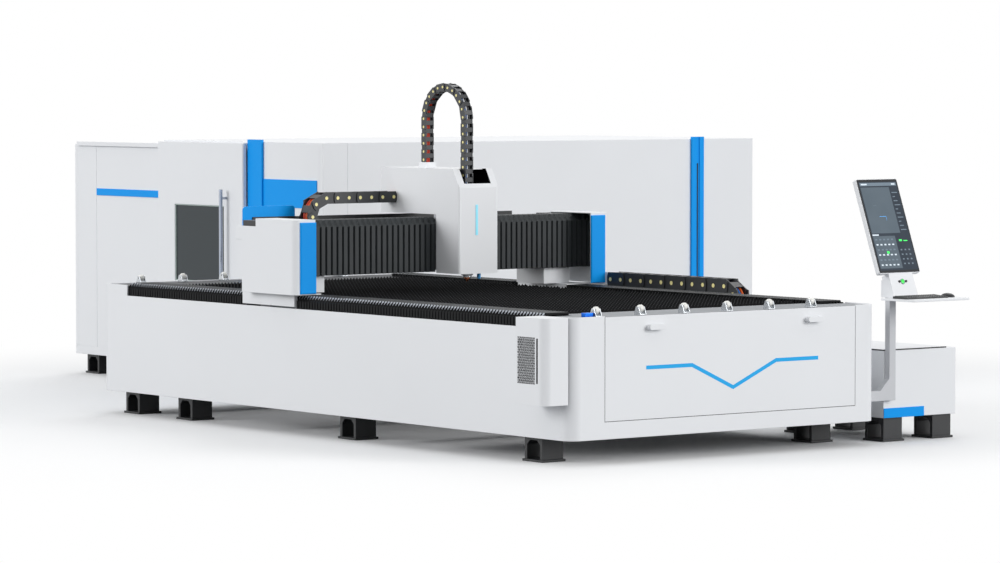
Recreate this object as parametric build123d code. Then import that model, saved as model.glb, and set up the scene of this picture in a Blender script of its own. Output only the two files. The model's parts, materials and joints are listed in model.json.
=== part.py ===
# Laser cutting machine: an open gantry bed with sawtooth slats, a cabin docked to its rear end,
# a low side cabinet and an operator console on an L-shaped arm. Millimetres, +Z up.
# Places are measured from the bed's left front corner on the floor, X to the right along the
# front and Y back along the left side. The finished part is moved so that its origin lies on
# the floor under the middle of its box.
import os
from math import atan2, cos, degrees, hypot, pi, sin

from build123d import *

# Shared sizes
overrun = 20
slide_gap = 0.3
seat_gap = 2
seam_width = 5
seam_depth = 3

# Box feet under the bed, the cabin and the side cabinet
foot_height = 143
foot_width = 150
foot_depth = 160
foot_flange = 10
foot_flange_thick = 14
foot_wall = 22
foot_arch_chamfer = 26
bed_foot_inset = 65
bed_foot_shares = (0.069, 0.443, 0.811, 0.939)
cabin_foot_inset = 60
cabin_foot_x_shares = (0, 0.5, 1)
cabin_foot_y_shares = (0.03, 0.5, 1)
cabinet_foot_inset = 20

# Welded bed with its folded skin
bed_width = 2300
bed_length = 4780
bed_panel_height = 685
bed_skin = 10
bed_corner_radius = 80
side_beam_width = 220
side_beam_wall = 16
side_beam_drop = 98
cross_beam_height = 96
cross_beam_width = 110
cross_beam_shares = (0.09, 0.36, 0.63, 0.9)
ledge_width = 46
ledge_height = 30
ledge_drop = 40

# Y guideways on the side beams
rail_width = 34
rail_height = 34
rack_width = 26
rack_height = 26
rack_offset = 54
rail_end_gap = 10

# Slat table
slat_zone_front = 392
slat_zone_rear = 392
carrier_wall = 20
carrier_wall_height = 100
carrier_foot_width = 40
carrier_foot_height = 25
carrier_flange_reach = 24
carrier_flange_thick = 6
carrier_spine_width = 40
slat_count = 36
slat_thick = 6
slat_end_gap = 1
slat_height = 120
slat_tooth_height = 34
slat_tooth_count = 7
slat_edge_gap = 40

# Rims across the front and the rear end of the bed, with loading rollers on them
rim_drop = 6
rim_thick = 16
rim_skin_gap = 2
rim_post_inset = 20
roller_count = 6
roller_first_x = 230
roller_right_gap = 470
roller_setback = 60
roller_base_length = 56
roller_base_width = 46
roller_base_thick = 8
roller_ear_thick = 6
roller_ear_height = 40
roller_radius = 21
roller_sides = 12

# Corner vent box on the left side
vent_reach = 170
vent_front = 17
vent_length = 253
vent_height = 483
vent_wall = 6
vent_front_radius = 55
vent_slot_count = 10
vent_slot_height = 12
vent_slot_length = 130
vent_slot_front = 28
vent_slot_low = 122
vent_slot_span = 250
vent_slit_width = 14

# Slag drawer behind the front opening
drawer_left = 249
drawer_right_gap = 175
drawer_low = 99
drawer_seam = 3
drawer_length = 1400
drawer_wall = 6
drawer_box_gap = 60
drawer_box_rise = 20
drawer_box_height = 300
drawer_flange_reach = 26
drawer_flange_thick = 12
drawer_flange_drop = 200
runner_height = 40
runner_gap = 4
drawer_handle_length = 118
drawer_handle_left = 543
drawer_handle_right_gap = 568
drawer_handle_drop = 50
drawer_handle_reach = 36
drawer_handle_thick = 14
drawer_handle_height = 30
drawer_handle_foot = 16

# Gantry: saddles, end covers, beam
gantry_front = 2560
saddle_setback = 100
saddle_length = 505
saddle_width = 200
saddle_thick = 75
saddle_lift = 6
saddle_notch_gap = 10
block_width = 70
block_length = 100
block_drop = 24
block_inset = 20
upright_width = 60
upright_length = 50
upright_height = 395
end_cover_out = 66
end_cover_in = 95
end_cover_length = 565
end_cover_height = 452
end_cover_wall = 6
end_cover_radius = 38
end_cover_step_length = 150
end_cover_step_drop = 48
end_cover_bulge_length = 62
end_cover_bulge_height = 84
end_cover_bulge_radius = 30
end_slot_height = 34
accent_thick = 12
accent_width = 116
accent_height = 430
accent_low = 6
accent_radius = 9
beam_setback = 210
beam_depth = 280
beam_low = 119
beam_height = 298
beam_wall = 20
leg_length = 205
leg_bellows_gap = 5
rear_plate_left = 73
rear_plate_width = 388
rear_plate_height = 458
rear_plate_low = 55
rear_plate_thick = 10
rear_plate_radius = 24

# X guideways, bellows and chain tray on the beam
x_rail_size = 24
x_rail_end_gap = 6
x_rail_shares = (0.14, 0.8)
x_bellows_front_gap = 26
x_bellows_wall_gap = 2
x_bellows_reach = 136
x_bellows_over = 23
x_bellows_under = 14
x_bellows_top_gap = 4
x_bellows_bottom_gap = 6
x_bellows_chamfer_height = 40
x_bellows_chamfer_depth = 30
x_bellows_fold = 13
x_bellows_top_fold = 9
x_bellows_bottom_fold = 4
x_bellows_left_folds = 25
x_bellows_right_folds = 19
tray_end_gap = 45
tray_floor_low = 175
tray_floor_thick = 10
tray_lip_thick = 10
tray_lip_height = 153
tray_depth = 263

# Y bellows over the guideways
y_bellows_front = 270
y_bellows_rear_gap = 251
y_bellows_side_gap = 4
y_bellows_height = 110
y_bellows_chamfer_height = 34
y_bellows_chamfer_width = 26
y_bellows_wall = 18
y_bellows_fold = 9
y_bellows_front_folds = 26
y_bellows_rear_folds = 14

# Carriage with the head housing and the cutting head
head_left = 1113
head_width = 304
head_front_reach = 285
head_low = 97
head_lower_gap = 48
head_under = 460
head_height = 743
head_depth = 815
head_chamfer_depth = 65
head_chamfer_height = 115
head_wall = 6
head_edge_radius = 16
chain_port_left = 50
chain_port_width = 206
chain_port_front = 14
chain_port_depth = 100
chain_stand_height = 35
chain_stand_margin = 10
light_width = 26
light_height = 188
light_low = 238
light_thick = 4
light_from_left = 122
carriage_plate_low = 18
carriage_plate_high = 362
pad_height = 50
pad_depth = 16
pad_length = 100
pad_inset = 22
z_rail_size = 24
z_rail_low = 40
z_rail_high = 350
tool_x = 187
tool_width = 90
tool_depth = 92
tool_low = 46
tool_high = 390
tool_guide_depth = 14
tool_guide_width = 76
tool_neck_radius = 38
tool_neck_low = 38
tool_shelf_thick = 20
tool_post_thick = 16
tool_post_high = 533
nozzle_ring_radius = 30
nozzle_ring_height = 14
nozzle_cone_radius = 20
nozzle_tip_radius = 7
nozzle_drop = 42

# Drag chains: pitch, side plate height, width over the plates, bend radius
chain_plate_thick = 8
chain_play = 0.4
chain_bar_thick = 6
chain_bar_share = 0.17
chain_end_share = 0.3
z_chain_pitch = 52
z_chain_height = 48
z_chain_width = 62
z_chain_radius = 203
z_chain_from_left = 68
z_chain_front_leg = 52
z_chain_rise = 301
z_chain_plate_thick = 6
x_chain_pitch = 86
x_chain_height = 70
x_chain_width = 100
x_chain_radius = 110
x_chain_bend = 575
x_chain_setback = 79
x_chain_links = 15
y_chain_pitch = 100
y_chain_height = 90
y_chain_width = 96
y_chain_radius = 110
y_chain_bend = 1414
y_chain_offset = 32
y_chain_links = 21
chain_anchor_length = 60
chain_bracket_thick = 16
chain_bracket_drop = 16
chain_bracket_grip = 8
chain_bracket_length = 220
chain_bracket_lead = 20
trough_floor_thick = 10
trough_lip_height = 60
trough_lip_thick = 6
trough_margin = 14
trough_front = 1100
trough_rear = 80

# Cabin docked to the rear end of the bed
cabin_overlap = 593
cabin_width = 3807
cabin_depth = 3133
cabin_height = 1570
cabin_step_height = 42
cabin_step_from = 1944
cabin_wall = 40
cabin_base_height = 60
cabin_floor_thick = 6
cabin_base_rail = 120
cabin_roof_thick = 20
cabin_front_seam = 199
cabin_rear_seam = 2838
pillar_proud = 18
pillar_over = 16
left_pillar_from = 699
left_pillar_width = 173
front_pillar_from = 3217
front_pillar_width = 113
pillar_slot_width = 30
pillar_slot_depth = 8
sign_from = 66
sign_low = 1130
sign_height = 189
strip_low = 1160
strip_height = 50
strip_length = 889
accent_plate_thick = 6
plinth_width = 325
plinth_height = 58
door_length = 1072
door_thick = 32
door_standoff = 24
door_low_gap = 10
door_height = 1490
door_corner_radius = 14
doorway_margin = 80
doorway_height = 1340
track_thick = 20
track_height = 30
track_end_gap = 54
hook_thick = 14
hook_gap = 2
window_from = 237
window_length = 616
window_low = 520
window_height = 535
window_thick = 8
handle_from = 200
handle_low = 400
handle_length = 770
handle_radius = 13
handle_reach = 48
handle_post_inset = 60
handle_post_radius = 9
source_width = 800
source_depth = 1000
source_height = 1100
source_left_gap = 900
source_rear_gap = 300
source_door_seam_share = 0.5
source_vent_count = 6
source_vent_height = 12
source_vent_pitch = 34
source_vent_width_share = 0.6
source_vent_low_share = 0.14
sheet_wall = 5

# Low side cabinet
cabinet_gap = 145
cabinet_width = 587
cabinet_front = 100
cabinet_depth = 900
cabinet_height = 398
cabinet_top_thick = 8
cabinet_top_width = 510

# Operator console
arm_low = 107
arm_height = 60
arm_depth = 40
post_gap = 155
post_width = 50
post_height = 714
gusset_size = 70
console_lift = 0.3
neck_width = 84
neck_depth = 74
neck_height = 100
screen_shift = 90
screen_width = 329
screen_length = 591
screen_front = 50
screen_low = 1000
screen_thick = 34
screen_tilt = 21
screen_radius = 12
glass_thick = 3
glass_margin = 5
back_box_width = 200
back_box_length = 330
back_box_thick = 26
back_box_low = 40
panel_width = 192
panel_length = 150
panel_thick = 62
button_radius = 13
button_length = 14
button_proud = 5
button_drop = 52
button_gap = 0.5
selector_radius = 7
selector_length = 12
selector_proud = 6
selector_spacing = 52
selector_wing_width = 4
selector_wing_length = 12
selector_wing_height = 3
tray_width = 460
tray_shift = 85
tray_front = 230
tray_back = 45
tray_thick = 13
tray_radius = 16
keyboard_width = 330
keyboard_depth = 126
keyboard_thick = 18
keyboard_front_thick = 10
keyboard_left = 20
keyboard_setback = 70
mouse_width = 62
mouse_length = 104
mouse_height = 32
mouse_left = 376
mouse_setback = 84
mouse_radius = 14

# Derived levels and places
bed_top = foot_height + bed_panel_height
roller_pitch = (bed_width - roller_first_x - roller_right_gap) / (roller_count - 1)
slat_zone_back = bed_length - slat_zone_rear
y_bellows_back = bed_length - y_bellows_rear_gap
drawer_right = bed_width - drawer_right_gap
drawer_handle_right = bed_width - drawer_handle_right_gap
cabin_left = bed_width - cabin_overlap
cabinet_left = bed_width + cabinet_gap
post_left = bed_width + post_gap
screen_left = post_left - screen_shift
tray_left = post_left - tray_shift
rail_seat = bed_top - side_beam_drop
beam_inner = bed_skin + side_beam_width
corner_zone = bed_corner_radius + bed_skin
rail_x = bed_skin + side_beam_width / 2
rail_top = rail_seat + rail_height
saddle_low = rail_top + saddle_lift
saddle_top = saddle_low + saddle_thick
notch_low = saddle_low - saddle_notch_gap
ledge_top = rail_seat - ledge_drop
carrier_top = ledge_top + carrier_wall_height
carrier_left = bed_skin + side_beam_width + carrier_flange_thick
slat_left = carrier_left + carrier_wall
slat_low = ledge_top + carrier_foot_height
rim_top = bed_top - rim_drop
drawer_bottom = foot_height + drawer_low
saddle_front = gantry_front + saddle_setback
saddle_back = saddle_front + saddle_length
beam_front = gantry_front + beam_setback
beam_back = beam_front + beam_depth
beam_bottom = saddle_top + beam_low
beam_top = beam_bottom + beam_height
x_bellows_face = beam_front - head_lower_gap - slide_gap
x_bellows_back = x_bellows_face + x_bellows_reach + x_bellows_front_gap
head_right = head_left + head_width
head_front = beam_front - head_front_reach
head_back_low = beam_front - head_lower_gap
head_bottom = saddle_top + head_low
head_floor = saddle_top + head_under
head_top = saddle_top + head_height
head_back = head_front + head_depth
tray_back_y = beam_back + tray_depth
tray_floor = saddle_top + beam_low + tray_floor_low
x_chain_mid_y = beam_back + x_chain_setback + x_chain_width / 2
x_chain_low = tray_floor + tray_floor_thick + slide_gap + x_chain_height / 2
y_chain_mid_x = bed_width + y_chain_offset + y_chain_width / 2
y_chain_top = saddle_top - chain_bracket_drop + y_chain_height / 2
y_chain_low = y_chain_top - 2 * y_chain_radius
y_chain_end = gantry_front - chain_bracket_lead
cabin_front = bed_length
cabin_right = cabin_left + cabin_width
cabin_back = cabin_front + cabin_depth
cabin_floor = foot_height + cabin_base_height
cabin_top = foot_height + cabin_height
cabin_step = cabin_front + cabin_step_from
door_front = cabin_front + left_pillar_from + left_pillar_width
door_face = cabin_left - door_standoff - door_thick
door_bottom = cabin_floor + door_low_gap
door_top = door_bottom + door_height
track_top = door_top - hook_thick - slide_gap
cabinet_right = cabinet_left + cabinet_width
cabinet_top = foot_height + cabinet_height
post_right = post_left + post_width
post_top = foot_height + post_height
console_low = post_top + console_lift
swivel_x = post_left + post_width / 2
swivel_y = cabinet_front - arm_depth / 2
z_chain_front_y = head_front + z_chain_front_leg
z_chain_centre_z = head_top + z_chain_rise
z_chain_mid_x = head_left + z_chain_from_left + z_chain_width / 2

# The whole part's box, which sets the origin
part_left = -vent_reach
part_right = cabin_right
part_front = -tray_front
part_back = cabin_back
centre_x = (part_left + part_right) / 2
centre_y = (part_front + part_back) / 2


# A block between two corners
def block(x0, x1, y0, y1, z0, z1):
    middle = Pos((x0 + x1) / 2, (y0 + y1) / 2, (z0 + z1) / 2)
    return middle * Box(x1 - x0, y1 - y0, z1 - z0)


# An outline in Y and Z, extruded along X
def prism_x(points, low, high):
    outline = Polyline(*[(low, y, z) for y, z in points], close=True)
    return extrude(make_face(outline), amount=high - low, dir=(1, 0, 0))


# An outline in X and Z, extruded along Y
def prism_y(points, low, high):
    outline = Polyline(*[(x, low, z) for x, z in points], close=True)
    return extrude(make_face(outline), amount=high - low, dir=(0, 1, 0))


# A round bar between two points on an axis line
def rod(start, end, radius):
    line = Line(start, end)
    return extrude(Plane(start, z_dir=line % 0) * Circle(radius), amount=line.length)


# A piece and its mirror image on the other side of the bed
def both_sides(shape):
    return [shape, mirror(shape, about=Plane.YZ.offset(bed_width / 2))]


# Writes one node, moved to the part's origin
def keep(name, *shapes):
    solids = [solid for shape in shapes for solid in shape.solids()]
    export_step(Pos(-centre_x, -centre_y, 0) * Compound(solids), os.path.join("parts", name + ".step"))


# Box foot with a wider base plate and an arched opening through it
def foot(x, y):
    body = block(x, x + foot_width, y, y + foot_depth, 0, foot_height)
    base = block(
        x - foot_flange, x + foot_width + foot_flange,
        y - foot_flange, y + foot_depth + foot_flange, 0, foot_flange_thick,
    )
    y0, y1 = y + foot_wall, y + foot_depth - foot_wall
    z0, z1 = foot_flange_thick, foot_height - foot_wall
    arch = [(y0, z0), (y1, z0), (y1, z1 - foot_arch_chamfer), (y1 - foot_arch_chamfer, z1),
            (y0 + foot_arch_chamfer, z1), (y0, z1 - foot_arch_chamfer)]
    return body + base - prism_x(arch, x - overrun, x + foot_width + overrun)


def machine_feet():
    feet = []
    for share in bed_foot_shares:
        for x in (bed_foot_inset, bed_width - bed_foot_inset - foot_width):
            feet.append(foot(x, share * bed_length))
    x_span = cabin_width - 2 * cabin_foot_inset - foot_width
    y_span = cabin_depth - 2 * cabin_foot_inset - foot_depth
    for x_share in cabin_foot_x_shares:
        for y_share in cabin_foot_y_shares:
            feet.append(foot(cabin_left + cabin_foot_inset + x_share * x_span,
                             cabin_front + cabin_foot_inset + y_share * y_span))
    for x in (cabinet_left + cabinet_foot_inset, cabinet_right - cabinet_foot_inset - foot_width):
        for y in (cabinet_front + cabinet_foot_inset,
                  cabinet_front + cabinet_depth - cabinet_foot_inset - foot_depth):
            feet.append(foot(x, y))
    return feet


# Two hollow side beams, cross beams between them and the ledges that carry the slat table
def bed_frame():
    y0, y1 = corner_zone, bed_length - bed_skin
    beam = block(bed_skin, beam_inner, y0, y1, foot_height, rail_seat)
    beam -= block(bed_skin + side_beam_wall, beam_inner - side_beam_wall, y0 - overrun, y1 + overrun,
                  foot_height + side_beam_wall, rail_seat - side_beam_wall)
    ledge = block(beam_inner, beam_inner + ledge_width, slat_zone_front, slat_zone_back,
                  ledge_top - ledge_height, ledge_top)
    parts = both_sides(beam) + both_sides(ledge)
    for share in cross_beam_shares:
        y = share * bed_length
        parts.append(block(beam_inner, bed_width - beam_inner, y, y + cross_beam_width,
                           foot_height, foot_height + cross_beam_height))
    return parts


# The folded skin as one ring in plan, with its two front corners rounded
def bed_skin_ring():
    outer = block(0, bed_width, 0, bed_length, foot_height, bed_top)
    inner = block(bed_skin, bed_width - bed_skin, bed_skin, bed_length - bed_skin,
                  foot_height - overrun, bed_top + overrun)
    outer = fillet(outer.edges().filter_by(Axis.Z).sort_by(Axis.Y)[:2], bed_corner_radius)
    inner = fillet(inner.edges().filter_by(Axis.Z).sort_by(Axis.Y)[:2], bed_corner_radius - bed_skin)
    return outer - inner


def bed_front_panel(ring):
    panel = ring & block(-overrun, bed_width + overrun, -overrun, corner_zone, 0, bed_top + overrun)
    opening = block(drawer_left - drawer_seam, drawer_right + drawer_seam, -overrun, corner_zone,
                    drawer_bottom - drawer_seam, bed_top + overrun)
    return panel - opening


# Side panel with the long notch through which the guideway bellows shows
def bed_side_panel():
    y0, y1 = corner_zone, bed_length - bed_skin
    outline = [(y0, foot_height), (y1, foot_height), (y1, bed_top), (y_bellows_back, bed_top),
               (y_bellows_back, notch_low), (y_bellows_front, notch_low),
               (y_bellows_front, bed_top), (y0, bed_top)]
    return prism_x(outline, 0, bed_skin)


def bed_rear_panel():
    return block(0, bed_width, bed_length - bed_skin, bed_length, foot_height, bed_top)


# Top plate over one end of the bed, on a post over each side beam
def end_rim(outer_y, shoulder_y, inner_y, rounded):
    x0, x1 = bed_skin + rim_skin_gap, bed_width - bed_skin - rim_skin_gap
    low, high = rim_top - rim_thick, rim_top
    wide = block(x0, x1, min(outer_y, shoulder_y), max(outer_y, shoulder_y), low, high)
    if rounded:
        corners = wide.edges().filter_by(Axis.Z).sort_by(Axis.Y)[:2]
        wide = fillet(corners, bed_corner_radius - bed_skin)
    mid = block(beam_inner + rim_skin_gap, bed_width - beam_inner - rim_skin_gap,
                min(shoulder_y, inner_y), max(shoulder_y, inner_y), low, high)
    post_from = max(min(outer_y, shoulder_y), corner_zone)
    post_to = min(max(outer_y, shoulder_y), bed_length - bed_skin - rim_skin_gap)
    post = block(bed_skin + rim_post_inset, beam_inner - rim_post_inset, post_from, post_to,
                 rail_seat, low)
    left, right = both_sides(post)
    return wide + mid + left + right


def end_rims():
    front = end_rim(bed_skin + rim_skin_gap, y_bellows_front - rail_end_gap,
                    slat_zone_front - seat_gap, True)
    rear = end_rim(bed_length - bed_skin - rim_skin_gap, y_bellows_back + rail_end_gap,
                   slat_zone_back + seat_gap, False)
    return [front, rear]


# Guide rail and gear rack on top of each side beam
def y_guideways():
    y0, y1 = y_bellows_front + rail_end_gap, y_bellows_back - rail_end_gap
    rail = block(rail_x - rail_width / 2, rail_x + rail_width / 2, y0, y1, rail_seat, rail_top)
    rack = block(rail_x + rack_offset - rack_width / 2, rail_x + rack_offset + rack_width / 2,
                 y0, y1, rail_seat, rail_seat + rack_height)
    return both_sides(rail) + both_sides(rack)


# Frame that holds the slats: walls with a foot and a top flange, end bars and a middle spine
def slat_carrier():
    x0, x1 = carrier_left, slat_left
    wall = [(x0, ledge_top), (x1 + carrier_foot_width, ledge_top), (x1 + carrier_foot_width, slat_low),
            (x1, slat_low), (x1, carrier_top), (x0 - carrier_flange_reach, carrier_top),
            (x0 - carrier_flange_reach, carrier_top - carrier_flange_thick),
            (x0, carrier_top - carrier_flange_thick)]
    left, right = both_sides(prism_y(wall, slat_zone_front, slat_zone_back))
    frame = left + right
    for y in (slat_zone_front, slat_zone_back - carrier_wall):
        frame += block(x1, bed_width - x1, y, y + carrier_wall, ledge_top, carrier_top)
    middle = bed_width / 2
    frame += block(middle - carrier_spine_width / 2, middle + carrier_spine_width / 2,
                   slat_zone_front, slat_zone_back, ledge_top, slat_low)
    return frame


# One sawtooth slat across the bed, standing on the carrier's feet
def slat(y):
    x0, x1 = slat_left + slat_end_gap, bed_width - slat_left - slat_end_gap
    valley, tip = slat_low + slat_height - slat_tooth_height, slat_low + slat_height
    pitch = (x1 - x0) / slat_tooth_count
    outline = [(x0, slat_low), (x1, slat_low), (x1, valley)]
    for tooth in reversed(range(slat_tooth_count)):
        outline.append((x0 + (2 * tooth + 1) * pitch / 2, tip))
        outline.append((x0 + tooth * pitch, valley))
    return prism_y(outline, y, y + slat_thick)


def support_slats():
    first = slat_zone_front + carrier_wall + slat_edge_gap
    last = slat_zone_back - carrier_wall - slat_edge_gap - slat_thick
    return [slat(first + (last - first) * i / (slat_count - 1)) for i in range(slat_count)]


# Fork bracket with a small wheel on which a sheet is rolled over the edge
def loading_roller(x, y):
    x0, x1 = x - roller_base_width / 2, x + roller_base_width / 2
    y0, y1 = y - roller_base_length / 2, y + roller_base_length / 2
    ear_top = rim_top + roller_base_thick + roller_ear_height
    fork = [(x0, rim_top), (x1, rim_top), (x1, ear_top), (x1 - roller_ear_thick, ear_top),
            (x1 - roller_ear_thick, rim_top + roller_base_thick),
            (x0 + roller_ear_thick, rim_top + roller_base_thick), (x0 + roller_ear_thick, ear_top),
            (x0, ear_top)]
    axle_z = ear_top - roller_radius / 2
    side = Plane((x0 + roller_ear_thick, y, axle_z), z_dir=(1, 0, 0))
    wheel = extrude(side * RegularPolygon(roller_radius, roller_sides),
                    amount=roller_base_width - 2 * roller_ear_thick)
    return prism_y(fork, y0, y1) + wheel


def loading_rollers():
    places = [roller_first_x + i * roller_pitch for i in range(roller_count)]
    rows = (roller_setback, bed_length - roller_setback)
    return [loading_roller(x, y) for y in rows for x in places]


# Upright block with its outer front edge rounded
def rounded_front(box, radius):
    edges = box.edges().filter_by(Axis.Z).sort_by(Axis.X)[:2]
    return fillet(edges.sort_by(Axis.Y)[0], radius)


# Box on the left front corner with a slotted face and a long slit
def corner_vent_box():
    y0, y1 = vent_front, vent_front + vent_length
    z0, z1 = bed_top - vent_height, bed_top
    box = rounded_front(block(-vent_reach, 0, y0, y1, z0, z1), vent_front_radius)
    box -= rounded_front(block(-vent_reach + vent_wall, overrun, y0 + vent_wall, y1 - vent_wall,
                               z0 + vent_wall, z1 - vent_wall), vent_front_radius - vent_wall)
    pitch = vent_slot_span / vent_slot_count
    x0, x1 = -vent_reach - overrun, -vent_reach + vent_wall + overrun
    slots = []
    for i in range(vent_slot_count):
        z = z0 + vent_slot_low + i * pitch
        slots.append(block(x0, x1, y1 - vent_slot_front - vent_slot_length, y1 - vent_slot_front,
                           z, z + vent_slot_height))
    slit = y0 + 2 * vent_slot_front
    slots.append(block(x0, x1, slit, slit + vent_slit_width, z0 + vent_slot_low,
                       z0 + vent_slot_low + vent_slot_span))
    return box - slots


# Runner bars on the inner faces of the side beams, under the drawer's side flanges
def drawer_runners():
    top = drawer_flange_low() - slide_gap
    bar = block(beam_inner, beam_inner + drawer_box_gap - runner_gap, corner_zone, drawer_length,
                top - runner_height, top)
    return both_sides(bar)


def drawer_flange_low():
    return drawer_bottom + drawer_box_rise + drawer_box_height - drawer_flange_drop


# Front plate with an open slag tray behind it that hangs on side flanges
def slag_drawer():
    front = block(drawer_left, drawer_right, 0, bed_skin, drawer_bottom, rim_top)
    x0, x1 = beam_inner + drawer_box_gap, bed_width - beam_inner - drawer_box_gap
    z0 = drawer_bottom + drawer_box_rise
    tray = block(x0, x1, bed_skin, drawer_length, z0, z0 + drawer_box_height)
    tray -= block(x0 + drawer_wall, x1 - drawer_wall, bed_skin + drawer_wall, drawer_length - drawer_wall,
                  z0 + drawer_wall, z0 + drawer_box_height + overrun)
    low = drawer_flange_low()
    flange = block(x0 - drawer_flange_reach, x0, corner_zone + seat_gap, drawer_length,
                   low, low + drawer_flange_thick)
    left, right = both_sides(flange)
    return front + tray + left + right


def drawer_handle(x):
    top = rim_top - drawer_handle_drop
    low = top - drawer_handle_height
    outer = block(x, x + drawer_handle_length, -drawer_handle_reach, 0, low, top)
    gap = block(x + drawer_handle_foot, x + drawer_handle_length - drawer_handle_foot,
                drawer_handle_thick - drawer_handle_reach, overrun, low - overrun, top + overrun)
    outer = fillet(outer.edges().filter_by(Axis.Y), drawer_handle_height / 2 - slide_gap)
    return outer - gap


# Saddle plate with two blocks that run on the guide rail
def saddle():
    plate = block(0, saddle_width, saddle_front, saddle_back, saddle_low, saddle_top)
    x0, x1 = rail_x - block_width / 2, rail_x + block_width / 2
    groove_side = rail_width / 2 + slide_gap
    for y in (saddle_front + block_inset, saddle_back - block_inset - block_length):
        runner = block(x0, x1, y, y + block_length, saddle_low - block_drop, saddle_low)
        runner -= block(rail_x - groove_side, rail_x + groove_side, y - overrun, y + block_length + overrun,
                        saddle_low - block_drop - overrun, rail_top + slide_gap)
        plate += runner
    plate += block(0, upright_width, saddle_back, saddle_back + upright_length, saddle_low,
                   saddle_low + upright_height)
    return plate


# Bracket on the right saddle that carries the moving end of the Y chain
def y_chain_bracket():
    z0, z1 = saddle_top - chain_bracket_drop, saddle_top
    y0 = y_chain_end
    x0 = y_chain_mid_x - y_chain_width / 2
    arm = block(bed_width - chain_bracket_grip, x0 + y_chain_width, y0, y0 + chain_bracket_length, z0, z1)
    plate = block(x0, x0 + y_chain_width, y0, y0 + chain_bracket_thick, z0, z0 + y_chain_height)
    return arm + plate


def gantry_saddles():
    left, right = both_sides(saddle())
    return [left, right + y_chain_bracket()]


# Cover over one gantry end: rounded folded shell, open below, with a step and a slot at the rear
def end_cover():
    x0, x1 = -end_cover_out, end_cover_in
    y0, y1 = gantry_front, gantry_front + end_cover_length
    z0, z1 = saddle_top, saddle_top + end_cover_height
    step_y, step_z = y1 - end_cover_step_length, z1 - end_cover_step_drop
    outline = [(y0, z0), (y1, z0), (y1, step_z), (step_y, step_z), (step_y, z1), (y0, z1)]
    shell = prism_x(outline, x0, x1)
    corner = shell.edges().filter_by(Axis.Z).filter_by_position(Axis.Y, y0, y0 + seat_gap)
    shell = fillet(corner.sort_by(Axis.X)[0], end_cover_radius)
    bulge_low = step_z - end_cover_bulge_height
    bulge = block(x0, x1, y1, y1 + end_cover_bulge_length, bulge_low, step_z)
    top_edge = bulge.edges().filter_by(Axis.X).group_by(Axis.Z)[-1].sort_by(Axis.Y)[-1]
    shell += fillet(top_edge, end_cover_bulge_radius)
    wall = end_cover_wall
    inner = [(y0 + wall, z0 - overrun), (y1 - wall, z0 - overrun), (y1 - wall, step_z - wall),
             (step_y - wall, step_z - wall), (step_y - wall, z1 - wall), (y0 + wall, z1 - wall)]
    room = prism_x(inner, x0 + wall, x1 - wall)
    corner = room.edges().filter_by(Axis.Z).filter_by_position(Axis.Y, y0, y0 + wall + seat_gap)
    return shell - fillet(corner.sort_by(Axis.X)[0], end_cover_radius - wall)


# Dark junction box in the step at the rear top of an end cover
def end_junction_box():
    y1 = gantry_front + end_cover_length
    z0 = saddle_top + end_cover_height - end_cover_step_drop
    return block(-end_cover_out + end_cover_wall, end_cover_in - end_cover_wall,
                 y1 - end_cover_step_length + seat_gap, y1 - end_cover_wall, z0, z0 + end_slot_height)


# Painted strip on the front of each end cover and the tall plate behind the left end
def gantry_accents():
    z0 = saddle_top + accent_low
    x1 = end_cover_in - accent_low
    strip = block(x1 - accent_width, x1, gantry_front - accent_thick, gantry_front, z0, z0 + accent_height)
    face_edges = strip.edges().group_by(Axis.Y)[0]
    strip = fillet(face_edges, accent_radius)
    z1 = saddle_top + rear_plate_low
    plate = block(rear_plate_left, rear_plate_left + rear_plate_width, tray_back_y,
                  tray_back_y + rear_plate_thick, z1, z1 + rear_plate_height)
    top = plate.edges().filter_by(Axis.Y).group_by(Axis.Z)[-1]
    return both_sides(strip) + [fillet(top, rear_plate_radius)]


# Hollow beam on a leg over each saddle
def gantry_beam():
    x0, x1 = end_cover_in, bed_width - end_cover_in
    beam = block(x0, x1, beam_front, beam_back, beam_bottom, beam_top)
    beam -= block(x0 - overrun, x1 + overrun, beam_front + beam_wall, beam_back - beam_wall,
                  beam_bottom + beam_wall, beam_top - beam_wall)
    foot_top = beam_bottom - x_bellows_under - leg_bellows_gap
    leg = block(x0, x0 + leg_length, beam_front, beam_back, saddle_top, foot_top)
    leg += block(x0, x0 + leg_length, x_bellows_back + leg_bellows_gap, beam_back, foot_top, beam_bottom)
    left, right = both_sides(leg)
    return beam + left + right


def x_rail_levels():
    return [beam_bottom + share * beam_height for share in x_rail_shares]


def x_guide_rails():
    x0 = end_cover_in + x_rail_end_gap
    return [block(x0, bed_width - x0, beam_front - x_rail_size, beam_front,
                  z - x_rail_size / 2, z + x_rail_size / 2) for z in x_rail_levels()]


# A pleated cover along one axis: flat panels between outlines that alternate between crest and
# valley, closed by a plain channel inside. The channel starts where the outline ends.
def pleated(outline_at, channel_at, low, high, folds):
    places = [low + (high - low) * i / (2 * folds) for i in range(2 * folds + 1)]
    rows = [outline_at(place, i % 2) for i, place in enumerate(places)]
    first, last = channel_at(low), channel_at(high)
    panels = [rows[0] + first, rows[-1] + last]
    for row, following in zip(rows, rows[1:]):
        for i in range(len(row) - 1):
            panels.append([row[i], row[i + 1], following[i + 1], following[i]])
    for i in range(len(first) - 1):
        panels.append([first[i], first[i + 1], last[i + 1], last[i]])
    panels.append([row[0] for row in rows] + [last[-1], first[-1]])
    panels.append([row[-1] for row in rows] + [last[0], first[0]])
    faces = [make_face(Polyline(*points, close=True)).face() for points in panels]
    return Solid(Shell(faces))


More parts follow.
